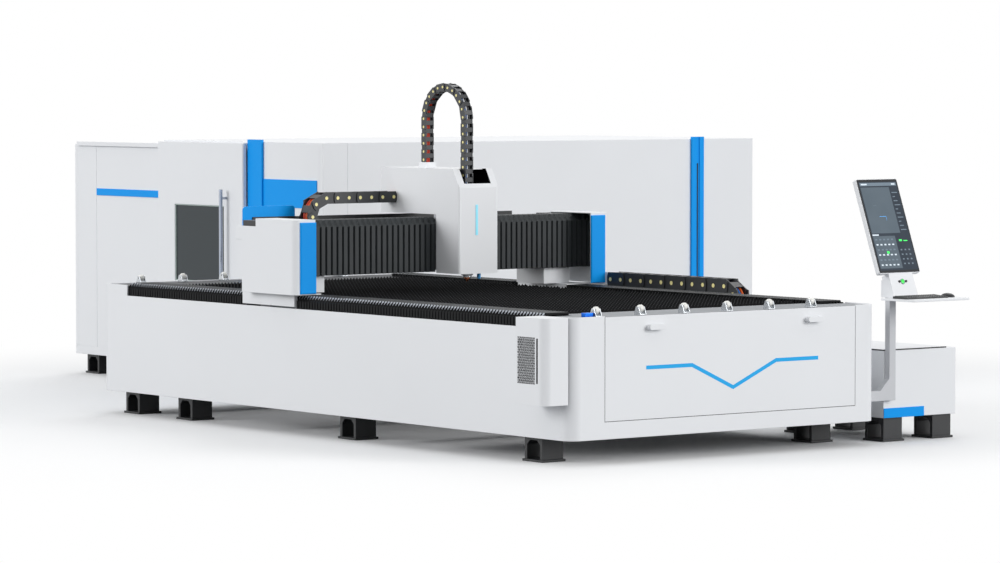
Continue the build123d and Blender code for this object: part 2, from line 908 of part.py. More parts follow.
def x_bellows_outline(x, valley):
    front = x_bellows_face + valley * x_bellows_fold
    back = x_bellows_back
    low = beam_bottom - x_bellows_under + valley * x_bellows_bottom_fold
    high = beam_top + x_bellows_over - valley * x_bellows_top_fold
    chamfer = high - x_bellows_chamfer_height
    return [(x, back, low), (x, front, low), (x, front, chamfer),
            (x, front + x_bellows_chamfer_depth, high), (x, back, high)]


def x_bellows_channel(x):
    front = beam_front - x_rail_size - x_bellows_wall_gap
    low, high = beam_bottom - x_bellows_bottom_gap, beam_top + x_bellows_top_gap
    return [(x, x_bellows_back, high), (x, front, high), (x, front, low), (x, x_bellows_back, low)]


# Both pleated covers in front of and over the beam, on either side of the carriage
def x_bellows():
    left = pleated(x_bellows_outline, x_bellows_channel, end_cover_in, head_left - slide_gap,
                   x_bellows_left_folds)
    right = pleated(x_bellows_outline, x_bellows_channel, head_right + slide_gap,
                    bed_width - end_cover_in, x_bellows_right_folds)
    return [left, right]


# Tray behind the beam in which the X chain lies, with the block its fixed end is screwed to
def x_chain_tray():
    x0, x1 = end_cover_in + tray_end_gap, bed_width - end_cover_in - tray_end_gap
    floor = block(x0, x1, beam_back, tray_back_y, tray_floor, tray_floor + tray_floor_thick)
    lip = block(x0, x1, tray_back_y - tray_lip_thick, tray_back_y, tray_floor, tray_floor + tray_lip_height)
    end = x_chain_bend + lower_run_end(x_chain_top_run(), x_chain_radius, x_chain_pitch, x_chain_links)
    anchor = block(end + slide_gap, end + slide_gap + chain_anchor_length,
                   x_chain_mid_y - x_chain_width / 2, x_chain_mid_y + x_chain_width / 2,
                   tray_floor + tray_floor_thick, x_chain_low + x_chain_height / 2)
    return floor + lip + anchor


def x_chain_top_run():
    return head_left - slide_gap - x_chain_bend


def y_bellows_outline(y, valley):
    x0 = bed_skin + y_bellows_side_gap + valley * y_bellows_fold
    x1 = carrier_left - carrier_flange_reach - y_bellows_side_gap - valley * y_bellows_fold
    high = rail_seat + y_bellows_height - valley * y_bellows_fold
    side = high - y_bellows_chamfer_height
    return [(x0, y, rail_seat), (x0, y, side), (x0 + y_bellows_chamfer_width, y, high), (x1, y, high),
            (x1, y, rail_seat)]


def y_bellows_channel(y):
    x0 = bed_skin + y_bellows_side_gap + y_bellows_wall
    x1 = carrier_left - carrier_flange_reach - y_bellows_side_gap - y_bellows_wall
    high = rail_seat + y_bellows_height - y_bellows_wall
    side = high - y_bellows_chamfer_height
    inset = x0 + y_bellows_chamfer_width
    return [(x1, y, rail_seat), (x1, y, high), (inset, y, high), (x0, y, side), (x0, y, rail_seat)]


# Pleated covers over the guideways, one pair in front of the gantry and one pair behind it
def y_bellows(low, high, folds):
    return both_sides(pleated(y_bellows_outline, y_bellows_channel, low, high, folds))


# Place on a chain's path: a straight run, a half turn and a straight run back.
# The bend's centre is zero, the runs lie along +u, the first run at +v.
def chain_point(s, run, radius):
    if s < run:
        return run - s, radius
    turn = (s - run) / radius
    if turn < pi:
        return -radius * sin(turn), radius * cos(turn)
    return s - run - pi * radius, -radius


def lower_run_end(run, radius, pitch, links):
    return links * pitch + 2 * chain_end_share * pitch - run - pi * radius


# One chain link between two pins: two side plates that taper beyond the pins and two cross bars
def chain_link(length, pitch, height, width, thick, inset):
    pin, rise = length / 2, height / 2
    tip = pin + chain_end_share * pitch
    outline = [(-tip, 0), (-pin, -rise), (pin, -rise), (tip, 0), (pin, rise), (-pin, rise)]
    face = make_face(Polyline(*[(x, y, 0) for x, y in outline], close=True))
    outer = width / 2 - inset
    plate = Pos(0, 0, outer - thick) * extrude(face, amount=thick, dir=(0, 0, 1))
    link = plate + mirror(plate, about=Plane.XY)
    bar = chain_bar_share * pitch
    for low in (-rise, rise - chain_bar_thick):
        link += block(-bar, bar, low, low + chain_bar_thick, thick - outer, outer - thick)
    return link


# All links of a chain in the given plane, narrow links between wide ones
def chain(plane, run, radius, pitch, links, height, width, thick):
    pins = [chain_point((chain_end_share + i) * pitch, run, radius) for i in range(links + 1)]
    solids = []
    for i in range(links):
        (u0, v0), (u1, v1) = pins[i], pins[i + 1]
        inset = (i % 2) * (thick + chain_play)
        link = chain_link(hypot(u1 - u0, v1 - v0), pitch, height, width, thick, inset)
        angle = degrees(atan2(v1 - v0, u1 - u0))
        solids.append(plane * Pos((u0 + u1) / 2, (v0 + v1) / 2, 0) * Rot(0, 0, angle) * link)
    return solids


def x_chain():
    plane = Plane((x_chain_bend, x_chain_mid_y, x_chain_low + x_chain_radius),
                  x_dir=(1, 0, 0), z_dir=(0, -1, 0))
    return chain(plane, x_chain_top_run(), x_chain_radius, x_chain_pitch, x_chain_links,
                 x_chain_height, x_chain_width, chain_plate_thick)


def y_chain_top_run():
    return y_chain_end - slide_gap - y_chain_bend


def y_chain():
    plane = Plane((y_chain_mid_x, y_chain_bend, y_chain_low + y_chain_radius),
                  x_dir=(0, 1, 0), z_dir=(1, 0, 0))
    return chain(plane, y_chain_top_run(), y_chain_radius, y_chain_pitch, y_chain_links,
                 y_chain_height, y_chain_width, chain_plate_thick)


# Shelf along the right panel under the Y chain, with the block its fixed end is screwed to
def y_chain_trough():
    x0, x1 = bed_width, y_chain_mid_x + y_chain_width / 2 + trough_margin
    y0, y1 = trough_front, bed_length - trough_rear
    z1 = y_chain_low - y_chain_height / 2 - slide_gap
    floor = block(x0, x1, y0, y1, z1 - trough_floor_thick, z1)
    lip = block(x1 - trough_lip_thick, x1, y0, y1, z1 - trough_floor_thick, z1 + trough_lip_height)
    end = y_chain_bend + lower_run_end(y_chain_top_run(), y_chain_radius, y_chain_pitch, y_chain_links)
    anchor = block(y_chain_mid_x - y_chain_width / 2, y_chain_mid_x + y_chain_width / 2,
                   end + slide_gap, end + slide_gap + chain_anchor_length, z1, z1 + y_chain_height)
    return floor + lip + anchor


def z_chain_runs():
    front = z_chain_centre_z - (saddle_top + tool_post_high) - slide_gap
    rear = z_chain_centre_z - head_top - chain_stand_height - slide_gap
    return front, rear


def z_chain():
    front, rear = z_chain_runs()
    length = front + pi * z_chain_radius + rear
    links = int(length / z_chain_pitch)
    pitch = length / (links + 2 * chain_end_share)
    plane = Plane((z_chain_mid_x, z_chain_front_y + z_chain_radius, z_chain_centre_z),
                  x_dir=(0, 0, -1), z_dir=(-1, 0, 0))
    return chain(plane, front, z_chain_radius, pitch, links, z_chain_height, z_chain_width,
                 z_chain_plate_thick)


# Folded housing of the carriage: a front column and a long upper body over the beam
def head_housing():
    x0, x1 = head_left, head_right
    slope_y, slope_z = head_front + head_chamfer_depth, head_top - head_chamfer_height
    outline = [(head_front, head_bottom), (head_back_low, head_bottom), (head_back_low, head_floor),
               (head_back, head_floor), (head_back, head_top), (slope_y, head_top), (head_front, slope_z)]
    body = prism_x(outline, x0, x1)
    front_edges = body.edges().filter_by(Axis.Z).filter_by_position(Axis.Y, head_front - seat_gap,
                                                                    head_front + seat_gap)
    body = fillet(front_edges, head_edge_radius)
    wall = head_wall
    run = hypot(head_chamfer_depth, head_chamfer_height)
    shift_y = wall * run / head_chamfer_height
    inner_z = slope_z + (wall - shift_y) * head_chamfer_height / head_chamfer_depth
    inner_y = slope_y + shift_y - wall * head_chamfer_depth / head_chamfer_height
    left, right = x0 + wall, x1 - wall
    column = block(left, right, head_front + wall, head_back_low + overrun, head_bottom - overrun, head_floor)
    throat = block(left, right, head_front + wall, head_back_low - wall, head_floor - wall,
                   head_floor + 2 * wall)
    upper = prism_x([(head_front + wall, head_floor + wall), (head_back - wall, head_floor + wall),
                     (head_back - wall, head_top - wall), (inner_y, head_top - wall),
                     (head_front + wall, inner_z)], left, right)
    port = block(x0 + chain_port_left, x0 + chain_port_left + chain_port_width,
                 head_front + chain_port_front, head_front + chain_port_depth,
                 slope_z + wall, head_top + overrun)
    body = body - column - throat - upper - port
    stand_y = z_chain_front_y + 2 * z_chain_radius
    half_x = z_chain_width / 2 + chain_stand_margin
    half_y = z_chain_height / 2 + chain_stand_margin
    return body + block(z_chain_mid_x - half_x, z_chain_mid_x + half_x, stand_y - half_y, stand_y + half_y,
                        head_top, head_top + chain_stand_height)


def light_strip():
    x0 = head_left + light_from_left
    z0 = head_bottom + light_low
    strip = block(x0, x0 + light_width, head_front - light_thick, head_front, z0, z0 + light_height)
    return fillet(strip.edges().filter_by(Axis.Y), light_width / 2 - slide_gap)


# Plate that runs on the X rails, with a rail on its front for the cutting head
def carriage_plate():
    y0, y1 = head_back_low, beam_front - x_rail_size - slide_gap
    z0, z1 = head_bottom + carriage_plate_low, head_bottom + carriage_plate_high
    plate = block(head_left, head_right, y0, y1, z0, z1)
    groove = x_rail_size / 2 + slide_gap
    for z in x_rail_levels():
        for x in (head_left + pad_inset, head_right - pad_inset - pad_length):
            pad = block(x, x + pad_length, y1, y1 + pad_depth, z - pad_height / 2, z + pad_height / 2)
            plate += pad - block(x - overrun, x + pad_length + overrun, y1, y1 + pad_depth + overrun,
                                 z - groove, z + groove)
    x = head_left + tool_x
    plate += block(x - z_rail_size / 2, x + z_rail_size / 2, y0 - z_rail_size, y0,
                   head_bottom + z_rail_low, head_bottom + z_rail_high)
    return plate


# Body of the cutting head on the Z rail, with the post that lifts the chain's front end
def cutting_head():
    x, y1 = head_left + tool_x, head_back_low - z_rail_size - slide_gap
    y0 = y1 - tool_depth
    z0, z1 = head_bottom + tool_low, saddle_top + tool_high
    body = block(x - tool_width / 2, x + tool_width / 2, y0, y1, z0, z1)
    groove = z_rail_size / 2 + slide_gap
    guide = block(x - tool_guide_width / 2, x + tool_guide_width / 2, y1, y1 + tool_guide_depth, z0, z1)
    guide -= block(x - groove, x + groove, y1, y1 + tool_guide_depth + overrun, z0 - overrun, z1 + overrun)
    neck = rod((x, (y0 + y1) / 2, saddle_top + nozzle_drop + tool_neck_low), (x, (y0 + y1) / 2, z0),
               tool_neck_radius)
    left, right = z_chain_mid_x - z_chain_width / 2, z_chain_mid_x + z_chain_width / 2
    front = z_chain_front_y - z_chain_height / 2
    shelf = block(left, x + tool_width / 2, front, y1, z1, z1 + tool_shelf_thick)
    post = block(left, right, z_chain_front_y - tool_post_thick / 2, z_chain_front_y + tool_post_thick / 2,
                 z1 + tool_shelf_thick, saddle_top + tool_post_high)
    return body + guide + neck + shelf + post


# Nozzle: a ring nut with many flats and a copper cone
def nozzle():
    top = saddle_top + nozzle_drop + tool_neck_low
    ring_low, tip = top - nozzle_ring_height, saddle_top + nozzle_drop
    x = head_left + tool_x
    y = head_back_low - z_rail_size - slide_gap - tool_depth / 2
    outline = [(0, tip), (nozzle_tip_radius, tip), (nozzle_cone_radius, ring_low),
               (nozzle_ring_radius, ring_low), (nozzle_ring_radius, top), (0, top)]
    half = make_face(Polyline(*[(radius, 0, z) for radius, z in outline], close=True))
    return Pos(x, y, 0) * revolve(half, axis=Axis.Z)


# Ring of base rails under the cabin with a middle rail and a sheet floor on it
def cabin_base():
    ring = block(cabin_left, cabin_right, cabin_front, cabin_back, foot_height, cabin_floor)
    ring -= block(cabin_left + cabin_base_rail, cabin_right - cabin_base_rail,
                  cabin_front + cabin_base_rail, cabin_back - cabin_base_rail,
                  foot_height - overrun, cabin_floor - cabin_floor_thick)
    middle = (cabin_left + cabin_right) / 2
    return ring + block(middle - cabin_base_rail / 2, middle + cabin_base_rail / 2,
                        cabin_front + cabin_base_rail, cabin_back - cabin_base_rail,
                        foot_height, cabin_floor - cabin_floor_thick)


# Side wall outline, lower behind the step in the roof
def cabin_side_outline():
    y0, y1 = cabin_front + cabin_wall, cabin_back - cabin_wall
    low = cabin_top - cabin_step_height
    return [(y0, cabin_floor), (y1, cabin_floor), (y1, low), (cabin_step, low), (cabin_step, cabin_top),
            (y0, cabin_top)]


def cabin_front_wall():
    wall = block(cabin_left, cabin_right, cabin_front, cabin_front + cabin_wall, cabin_floor, cabin_top)
    x = cabin_left + cabin_front_seam
    return wall - block(x, x + seam_width, cabin_front - overrun, cabin_front + seam_depth,
                        cabin_floor - overrun, cabin_top + overrun)


def cabin_left_wall():
    wall = prism_x(cabin_side_outline(), cabin_left, cabin_left + cabin_wall)
    wall -= block(cabin_left - overrun, cabin_left + cabin_wall + overrun, door_front + doorway_margin,
                  door_front + door_length - doorway_margin, cabin_floor - overrun,
                  cabin_floor + doorway_height)
    y = cabin_front + cabin_rear_seam
    return wall - block(cabin_left - overrun, cabin_left + seam_depth, y, y + seam_width,
                        cabin_floor - overrun, cabin_top + overrun)


def cabin_right_wall():
    return prism_x(cabin_side_outline(), cabin_right - cabin_wall, cabin_right)


def cabin_back_wall():
    return block(cabin_left, cabin_right, cabin_back - cabin_wall, cabin_back, cabin_floor,
                 cabin_top - cabin_step_height)


def cabin_roof():
    y0, y1 = cabin_front + cabin_wall, cabin_back - cabin_wall
    low = cabin_top - cabin_step_height
    outline = [(y0, low - cabin_roof_thick), (y1, low - cabin_roof_thick), (y1, low), (cabin_step, low),
               (cabin_step, cabin_top), (y0, cabin_top)]
    return prism_x(outline, cabin_left + cabin_wall, cabin_right - cabin_wall)


# Painted corner posts, one on the left wall before the door and one on the front wall
def cabin_pillars():
    top = cabin_top + pillar_over
    y0 = cabin_front + left_pillar_from
    left = block(cabin_left - pillar_proud, cabin_left, y0, y0 + left_pillar_width, foot_height, top)
    x0 = cabin_left + front_pillar_from
    front = block(x0, x0 + front_pillar_width, cabin_front - pillar_proud, cabin_front, foot_height, top)
    middle = x0 + front_pillar_width / 2
    front -= block(middle - pillar_slot_width / 2, middle + pillar_slot_width / 2,
                   cabin_front - pillar_proud - overrun, cabin_front - pillar_proud + pillar_slot_depth,
                   foot_height - overrun, top + overrun)
    return [left, front]


# Bare painted plates: a field and a strip on the cabin's left wall, a plinth on the side cabinet
def accent_plates():
    x0, x1 = cabin_left - accent_plate_thick, cabin_left
    y0, y1 = cabin_front + sign_from, cabin_front + left_pillar_from
    z0 = foot_height + sign_low
    sign = block(x0, x1, y0, y1, z0, z0 + sign_height)
    y2, z2 = cabin_step, foot_height + strip_low
    strip = block(x0, x1, y2, y2 + strip_length, z2, z2 + strip_height)
    plinth = block(cabinet_left, cabinet_left + plinth_width, cabinet_front - accent_plate_thick,
                   cabinet_front, foot_height, foot_height + plinth_height)
    return [sign, strip, plinth]


# Rail on the wall from which the sliding door hangs
def door_track():
    return block(cabin_left - track_thick, cabin_left, door_front, cabin_back - track_end_gap,
                 track_top - track_height, track_top)


# Sliding door with a window opening and a lip that hooks over its track
def cabin_door():
    x0, x1 = door_face, door_face + door_thick
    y0, y1 = door_front + seat_gap, door_front + door_length
    leaf = block(x0, x1, y0, y1, door_bottom, door_top)
    leaf = fillet(leaf.edges().filter_by(Axis.Z).group_by(Axis.X)[0], door_corner_radius)
    leaf += block(x1, cabin_left - hook_gap, y0, y1, door_top - hook_thick, door_top)
    return leaf - window_block(x0 - overrun, x1 + overrun)


def window_block(x0, x1):
    y0, z0 = door_front + window_from, door_bottom + window_low
    return block(x0, x1, y0, y0 + window_length, z0, z0 + window_height)


def door_window():
    middle = door_face + door_thick / 2
    return window_block(middle - window_thick / 2, middle + window_thick / 2)


# Upright bar handle on two posts
def door_handle():
    x, y = door_face - handle_reach, door_front + handle_from
    z0, z1 = door_bottom + handle_low, door_bottom + handle_low + handle_length
    bar = rod((x, y, z0), (x, y, z1), handle_radius)
    for z in (z0 + handle_post_inset, z1 - handle_post_inset):
        bar += rod((x, y, z), (door_face, y, z), handle_post_radius)
    return bar


# Laser source cabinet inside the cabin, with a door seam and air slots
def laser_source():
    x0 = cabin_left + cabin_wall + source_left_gap
    y1 = cabin_back - cabin_wall - source_rear_gap
    y0 = y1 - source_depth
    body = block(x0, x0 + source_width, y0, y1, cabin_floor, cabin_floor + source_height)
    body -= block(x0 + sheet_wall, x0 + source_width - sheet_wall, y0 + sheet_wall, y1 - sheet_wall,
                  cabin_floor - overrun, cabin_floor + source_height - sheet_wall)
    x = x0 + source_door_seam_share * source_width
    body -= block(x, x + seam_width, y0 - overrun, y0 + seam_depth, cabin_floor - overrun,
                  cabin_floor + source_height + overrun)
    margin = (1 - source_vent_width_share) * source_depth / 2
    for i in range(source_vent_count):
        z = cabin_floor + source_vent_low_share * source_height + i * source_vent_pitch
        body -= block(x0 - overrun, x0 + seam_depth, y0 + margin, y1 - margin, z, z + source_vent_height)
    return body


# Folded sheet cabinet with a cable opening in its floor, between the feet
def side_cabinet():
    back = cabinet_front + cabinet_depth
    body = block(cabinet_left, cabinet_right, cabinet_front, back, foot_height, cabinet_top)
    room = block(cabinet_left + sheet_wall, cabinet_right - sheet_wall, cabinet_front + sheet_wall,
                 back - sheet_wall, foot_height + sheet_wall, cabinet_top - sheet_wall)
    rim_x, rim_y = cabinet_foot_inset + foot_width, cabinet_foot_inset + foot_depth
    opening = block(cabinet_left + rim_x, cabinet_right - rim_x, cabinet_front + rim_y, back - rim_y,
                    foot_height - overrun, foot_height + sheet_wall)
    return body - room - opening


def cabinet_lid():
    return block(cabinet_left, cabinet_left + cabinet_top_width, cabinet_front,
                 cabinet_front + cabinet_depth, cabinet_top, cabinet_top + cabinet_top_thick)


# L-shaped tube from the bed's right panel to the console, with a gusset in its corner
def console_arm():
    y0, y1 = cabinet_front - arm_depth, cabinet_front
    z0, z1 = foot_height + arm_low, foot_height + arm_low + arm_height
    arm = block(bed_width, post_right, y0, y1, z0, z1)
    post = block(post_left, post_right, y0, y1, z0, post_top)
    gusset = prism_y([(post_left, z1), (post_left, z1 + gusset_size), (post_left - gusset_size, z1)], y0, y1)
    return arm + post + gusset


# Puts a piece that is drawn upright, with its front in the plane Y = 0, into the tilted console head
def tilted(shape):
    return Pos(screen_left + screen_width / 2, screen_front, screen_low) * Rot(-screen_tilt, 0, 0) * shape


def monitor_housing():
    half = screen_width / 2
    shell = block(-half, half, glass_thick, screen_thick, 0, screen_length)
    shell = fillet(shell.edges().filter_by(Axis.Y), screen_radius)
    back = block(-back_box_width / 2, back_box_width / 2, screen_thick, screen_thick + back_box_thick,
                 back_box_low, back_box_low + back_box_length)
    return tilted(shell + fillet(back.edges().group_by(Axis.Y)[-1], screen_radius))


def monitor_screen():
    half = screen_width / 2 - glass_margin
    glass = block(-half, half, 0, glass_thick, glass_margin, screen_length - glass_margin)
    return tilted(fillet(glass.edges().filter_by(Axis.Y), screen_radius - glass_margin))


# Tilted operating panel with its column on the post, cut flat where the keyboard tray meets it
def control_panel():
    half = panel_width / 2
    face = block(-half, half, 0, panel_thick, -panel_length, 0)
    holes = [rod_hole(0, button_radius + button_gap, button_length)]
    for side in (-1, 1):
        holes.append(rod_hole(side * selector_spacing / 2, selector_radius + button_gap, selector_length))
    neck = block(swivel_x - neck_width / 2, swivel_x + neck_width / 2, swivel_y - neck_depth / 2,
                 swivel_y + neck_depth / 2, console_low, console_low + neck_height)
    below = block(0, cabin_right, -tray_front - screen_length, cabinet_front + screen_length, 0, console_low)
    return tilted(face) + neck - below - [tilted(hole) for hole in holes]


# Blind hole in the operating panel at a place across it
def rod_hole(x, radius, depth):
    z = -button_drop
    return rod((x, -overrun, z), (x, depth + slide_gap, z), radius)


def start_button():
    z = -button_drop
    return tilted(rod((0, -button_proud, z), (0, button_length - button_proud, z), button_radius))


def selector(side):
    x, z = side * selector_spacing / 2, -button_drop
    knob = rod((x, -selector_proud, z), (x, selector_length, z), selector_radius)
    wing = block(x - selector_wing_width / 2, x + selector_wing_width / 2,
                 -selector_proud - selector_wing_height, -selector_proud,
                 z - selector_wing_length / 2, z + selector_wing_length / 2)
    return tilted(knob + wing)


def keyboard_tray():
    plate = block(tray_left, tray_left + tray_width, -tray_front, tray_back,
                  console_low - tray_thick, console_low)
    return fillet(plate.edges().filter_by(Axis.Z).group_by(Axis.Y)[0], tray_radius)


# Wedge-shaped keyboard
def keyboard():
    x0 = tray_left + keyboard_left
    y0 = keyboard_setback - tray_front
    y1 = y0 + keyboard_depth
    z0 = console_low
    wedge = [(y0, z0), (y1, z0), (y1, z0 + keyboard_thick), (y0, z0 + keyboard_front_thick)]
    return prism_x(wedge, x0, x0 + keyboard_width)


def mouse():
    x0, y0 = tray_left + mouse_left, mouse_setback - tray_front
    body = block(x0, x0 + mouse_width, y0, y0 + mouse_length, console_low, console_low + mouse_height)
    body = chamfer(body.edges().filter_by(Axis.Z), mouse_radius)
    return chamfer(body.edges().group_by(Axis.Z)[-1], mouse_radius / 2)


os.makedirs("parts", exist_ok=True)
ring = bed_skin_ring()
left_panel, right_panel = both_sides(bed_side_panel())
left_cover, right_cover = both_sides(end_cover())
keep("machine_feet", *machine_feet())
keep("bed_frame", *bed_frame())
keep("bed_front_panel", bed_front_panel(ring))
keep("bed_left_panel", left_panel)
keep("bed_right_panel", right_panel)
keep("bed_rear_panel", bed_rear_panel())
keep("end_rims", *end_rims())
keep("y_guideways", *y_guideways())
keep("slat_carrier", slat_carrier())
keep("support_slats", *support_slats())
keep("loading_rollers", *loading_rollers())
keep("corner_vent_box", corner_vent_box())
keep("drawer_runners", *drawer_runners())
keep("y_chain_trough", y_chain_trough())
rear_bellows_start = saddle_back + upright_length + slide_gap
keep("y_bellows_front", *y_bellows(y_bellows_front, saddle_front - slide_gap, y_bellows_front_folds))
keep("y_bellows_rear", *y_bellows(rear_bellows_start, y_bellows_back, y_bellows_rear_folds))
keep("y_chain", *y_chain())
keep("slag_drawer", slag_drawer())
keep("drawer_handles", drawer_handle(drawer_handle_left), drawer_handle(drawer_handle_right))
keep("gantry_saddles", *gantry_saddles())
keep("left_end_cover", left_cover)
keep("right_end_cover", right_cover)
keep("end_junction_boxes", *both_sides(end_junction_box()))
keep("gantry_accents", *gantry_accents())
keep("gantry_beam", gantry_beam())
keep("x_guide_rails", *x_guide_rails())
keep("x_bellows", *x_bellows())
keep("x_chain_tray", x_chain_tray())
keep("x_chain", *x_chain())
keep("head_housing", head_housing())
keep("light_strip", light_strip())
keep("carriage_plate", carriage_plate())
keep("z_chain", *z_chain())
keep("cutting_head", cutting_head())
keep("nozzle", nozzle())
keep("cabin_base", cabin_base())
keep("cabin_front_wall", cabin_front_wall())
keep("cabin_left_wall", cabin_left_wall())
keep("cabin_right_wall", cabin_right_wall())
keep("cabin_back_wall", cabin_back_wall())
keep("cabin_roof", cabin_roof())
keep("cabin_pillars", *cabin_pillars())
keep("accent_plates", *accent_plates())
keep("door_track", door_track())
keep("cabin_door", cabin_door())
keep("door_window", door_window())
keep("door_handle", door_handle())
keep("laser_source", laser_source())
keep("side_cabinet", side_cabinet())
keep("cabinet_lid", cabinet_lid())
keep("console_arm", console_arm())
keep("monitor_housing", monitor_housing())
keep("monitor_screen", monitor_screen())
keep("control_panel", control_panel())
keep("start_button", start_button())
keep("left_selector", selector(-1))
keep("right_selector", selector(1))
keep("keyboard_tray", keyboard_tray())
keep("keyboard", keyboard())
keep("mouse", mouse())
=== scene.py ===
import json
import math

import bmesh
import bpy
from mathutils import Matrix, Vector


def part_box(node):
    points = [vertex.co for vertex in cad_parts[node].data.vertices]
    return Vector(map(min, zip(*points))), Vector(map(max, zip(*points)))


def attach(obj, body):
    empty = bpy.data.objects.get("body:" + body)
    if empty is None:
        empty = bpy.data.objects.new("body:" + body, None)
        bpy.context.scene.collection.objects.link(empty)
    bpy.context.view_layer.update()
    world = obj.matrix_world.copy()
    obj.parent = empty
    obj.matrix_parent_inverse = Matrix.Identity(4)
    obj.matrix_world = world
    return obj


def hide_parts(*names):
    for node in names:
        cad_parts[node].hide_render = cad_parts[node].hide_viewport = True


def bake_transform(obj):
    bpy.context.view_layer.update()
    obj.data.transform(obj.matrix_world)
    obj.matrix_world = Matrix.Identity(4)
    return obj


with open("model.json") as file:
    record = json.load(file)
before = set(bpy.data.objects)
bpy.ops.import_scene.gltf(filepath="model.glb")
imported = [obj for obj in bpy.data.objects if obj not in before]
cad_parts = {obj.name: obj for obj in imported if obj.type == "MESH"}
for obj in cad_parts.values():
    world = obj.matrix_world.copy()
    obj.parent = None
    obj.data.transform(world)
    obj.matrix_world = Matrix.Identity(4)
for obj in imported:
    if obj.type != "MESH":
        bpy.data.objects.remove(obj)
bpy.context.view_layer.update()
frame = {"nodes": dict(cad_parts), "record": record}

# Feet: short box sections welded from steel plate on a wider base plate, under the bed, the cabin and the cabinet.
# They carry a half matt black powder coat, baked on after welding, that rounds off every plate edge a little.
record = frame["record"]
carrier = {node: body for body, nodes in record["behaviour"]["bodies"].items() for node in nodes}
mm = 0.001
plate_edge, weld_reach, gloss_drift = 2 * mm, 0.01 * mm, 0.06
flat_angle, fold_angle, smooth_angle = math.radians(1), math.radians(40), math.radians(35)


def linear(code):
    channels = [int(code[i:i + 2], 16) / 255 for i in (1, 3, 5)]
    return tuple(c / 12.92 if c <= 0.04045 else ((c + 0.055) / 1.055) ** 2.4 for c in channels) + (1.0,)


def add_node(owner, kind, settings, links):
    node = owner.node_tree.nodes.new(kind)
    for key, value in settings.items():
        if isinstance(key, str) and key[0].islower():
            setattr(node, key, value)
        else:
            node.inputs[key].default_value = value
    for key, source in links.items():
        owner.node_tree.links.new(source, node.inputs[key])
    return node


def start_material(name, settings):
    material = bpy.data.materials.new(name)
    material.use_nodes = True
    shader = material.node_tree.nodes["Principled BSDF"]
    for key, value in settings.items():
        shader.inputs[key].default_value = value
    place = add_node(material, "ShaderNodeTexCoord", {}, {}).outputs["Object"]
    return material, shader, place, material.node_tree.links.new


# Patches of a real size, over which each of the given sockets drifts from its first look to its second
def drift(material, shader, place, size, detail, looks):
    patches = add_node(material, "ShaderNodeTexNoise", {"Scale": 1 / size, "Detail": detail},
                       {"Vector": place}).outputs["Fac"]
    for socket, (first, second) in looks.items():
        if isinstance(first, str):
            look = add_node(material, "ShaderNodeMix", {"data_type": "RGBA", 6: linear(first), 7: linear(second)},
                            {0: patches}).outputs[2]
        else:
            look = add_node(material, "ShaderNodeMapRange", {"To Min": first, "To Max": second},
                            {"Value": patches}).outputs["Result"]
        material.node_tree.links.new(look, shader.inputs[socket])
    return patches


# Powder coat: a baked polymer skin that looks half matt, with a slow drift of tone and gloss over each panel and an
# orange peel of about 3 mm, drawn at 6 mm so that it shows
def powder_coat(name, pale, deep, roughness, specular=0.5):
    material, shader, place, link = start_material(name, {"IOR": 1.5, "Specular IOR Level": specular})
    drift(material, shader, place, 700 * mm, 3.0,
          {"Base Color": (deep, pale), "Roughness": (roughness - gloss_drift, roughness + gloss_drift)})
    peel = add_node(material, "ShaderNodeTexNoise", {"Scale": 1 / (6 * mm), "Detail": 1.0}, {"Vector": place})
    skin = add_node(material, "ShaderNodeBump", {"Strength": 0.08, "Distance": 0.2 * mm},
                    {"Height": peel.outputs["Fac"]})
    link(skin.outputs["Normal"], shader.inputs["Normal"])
    return material


# A copy of a piece's solid with its flat faces made whole
def solid_copy(node):
    shape = bmesh.new()
    shape.from_mesh(frame["nodes"][node].data)
    bmesh.ops.remove_doubles(shape, verts=shape.verts, dist=weld_reach)
    bmesh.ops.dissolve_limit(shape, angle_limit=flat_angle, verts=shape.verts, edges=shape.edges)
    return shape


def round_edges(shape, edges, edge):
    bmesh.ops.bevel(shape, geom=edges, offset=edge, offset_type="OFFSET", affect="EDGES", segments=2, profile=0.5,
                    material=-1, clamp_overlap=True)
    return shape


def break_edges(shape, edge):
    return round_edges(shape, [e for e in shape.edges if len(e.link_faces) == 2 and e.calc_face_angle() > fold_angle],
                       edge)


def folded(node, edge):
    return break_edges(solid_copy(node), edge)


def make_piece(shape, name, coats):
    mesh = bpy.data.meshes.new(name)
    shape.to_mesh(mesh)
    shape.free()
    for coat in coats:
        mesh.materials.append(coat)
    mesh.shade_smooth()
    mesh.set_sharp_from_angle(angle=smooth_angle)
    piece = bpy.data.objects.new(name, mesh)
    piece.modifiers.new("flat_faces_stay_flat", "WEIGHTED_NORMAL").keep_sharp = True
    bpy.context.scene.collection.objects.link(piece)
    return piece


def stand_for(shape, name, coats, node):
    piece = make_piece(shape, name, coats)
    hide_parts(node)
    return piece


def stand_in(shape, name, coats, node):
    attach(stand_for(shape, name, coats, node), carrier[node])


def coated(node, name, coat, edge):
    stand_in(folded(node, edge), name, [coat], node)


def fitted(shape, name, coats, body):
    piece = make_piece(shape, name, coats)
    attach(piece, body)


black_coat_and_painted_shade = powder_coat("black_powder_coat_and_painted_shade", "#212326", "#17181A", 0.46)
coated("machine_feet", "feet_coated", black_coat_and_painted_shade, plate_edge)

# Bed frame: welded square tube with ledges for the slat carrier, under a light grey primer coat.
# The drawer runners are angle iron bolted to the same tube.
grey_coat_and_painted_shade = powder_coat("light_grey_coat_and_painted_shade", "#C9CBCF", "#C0C2C6", 0.5)
for node in ("bed_frame", "drawer_runners"):
    coated(node, node + "_coated", grey_coat_and_painted_shade, plate_edge)

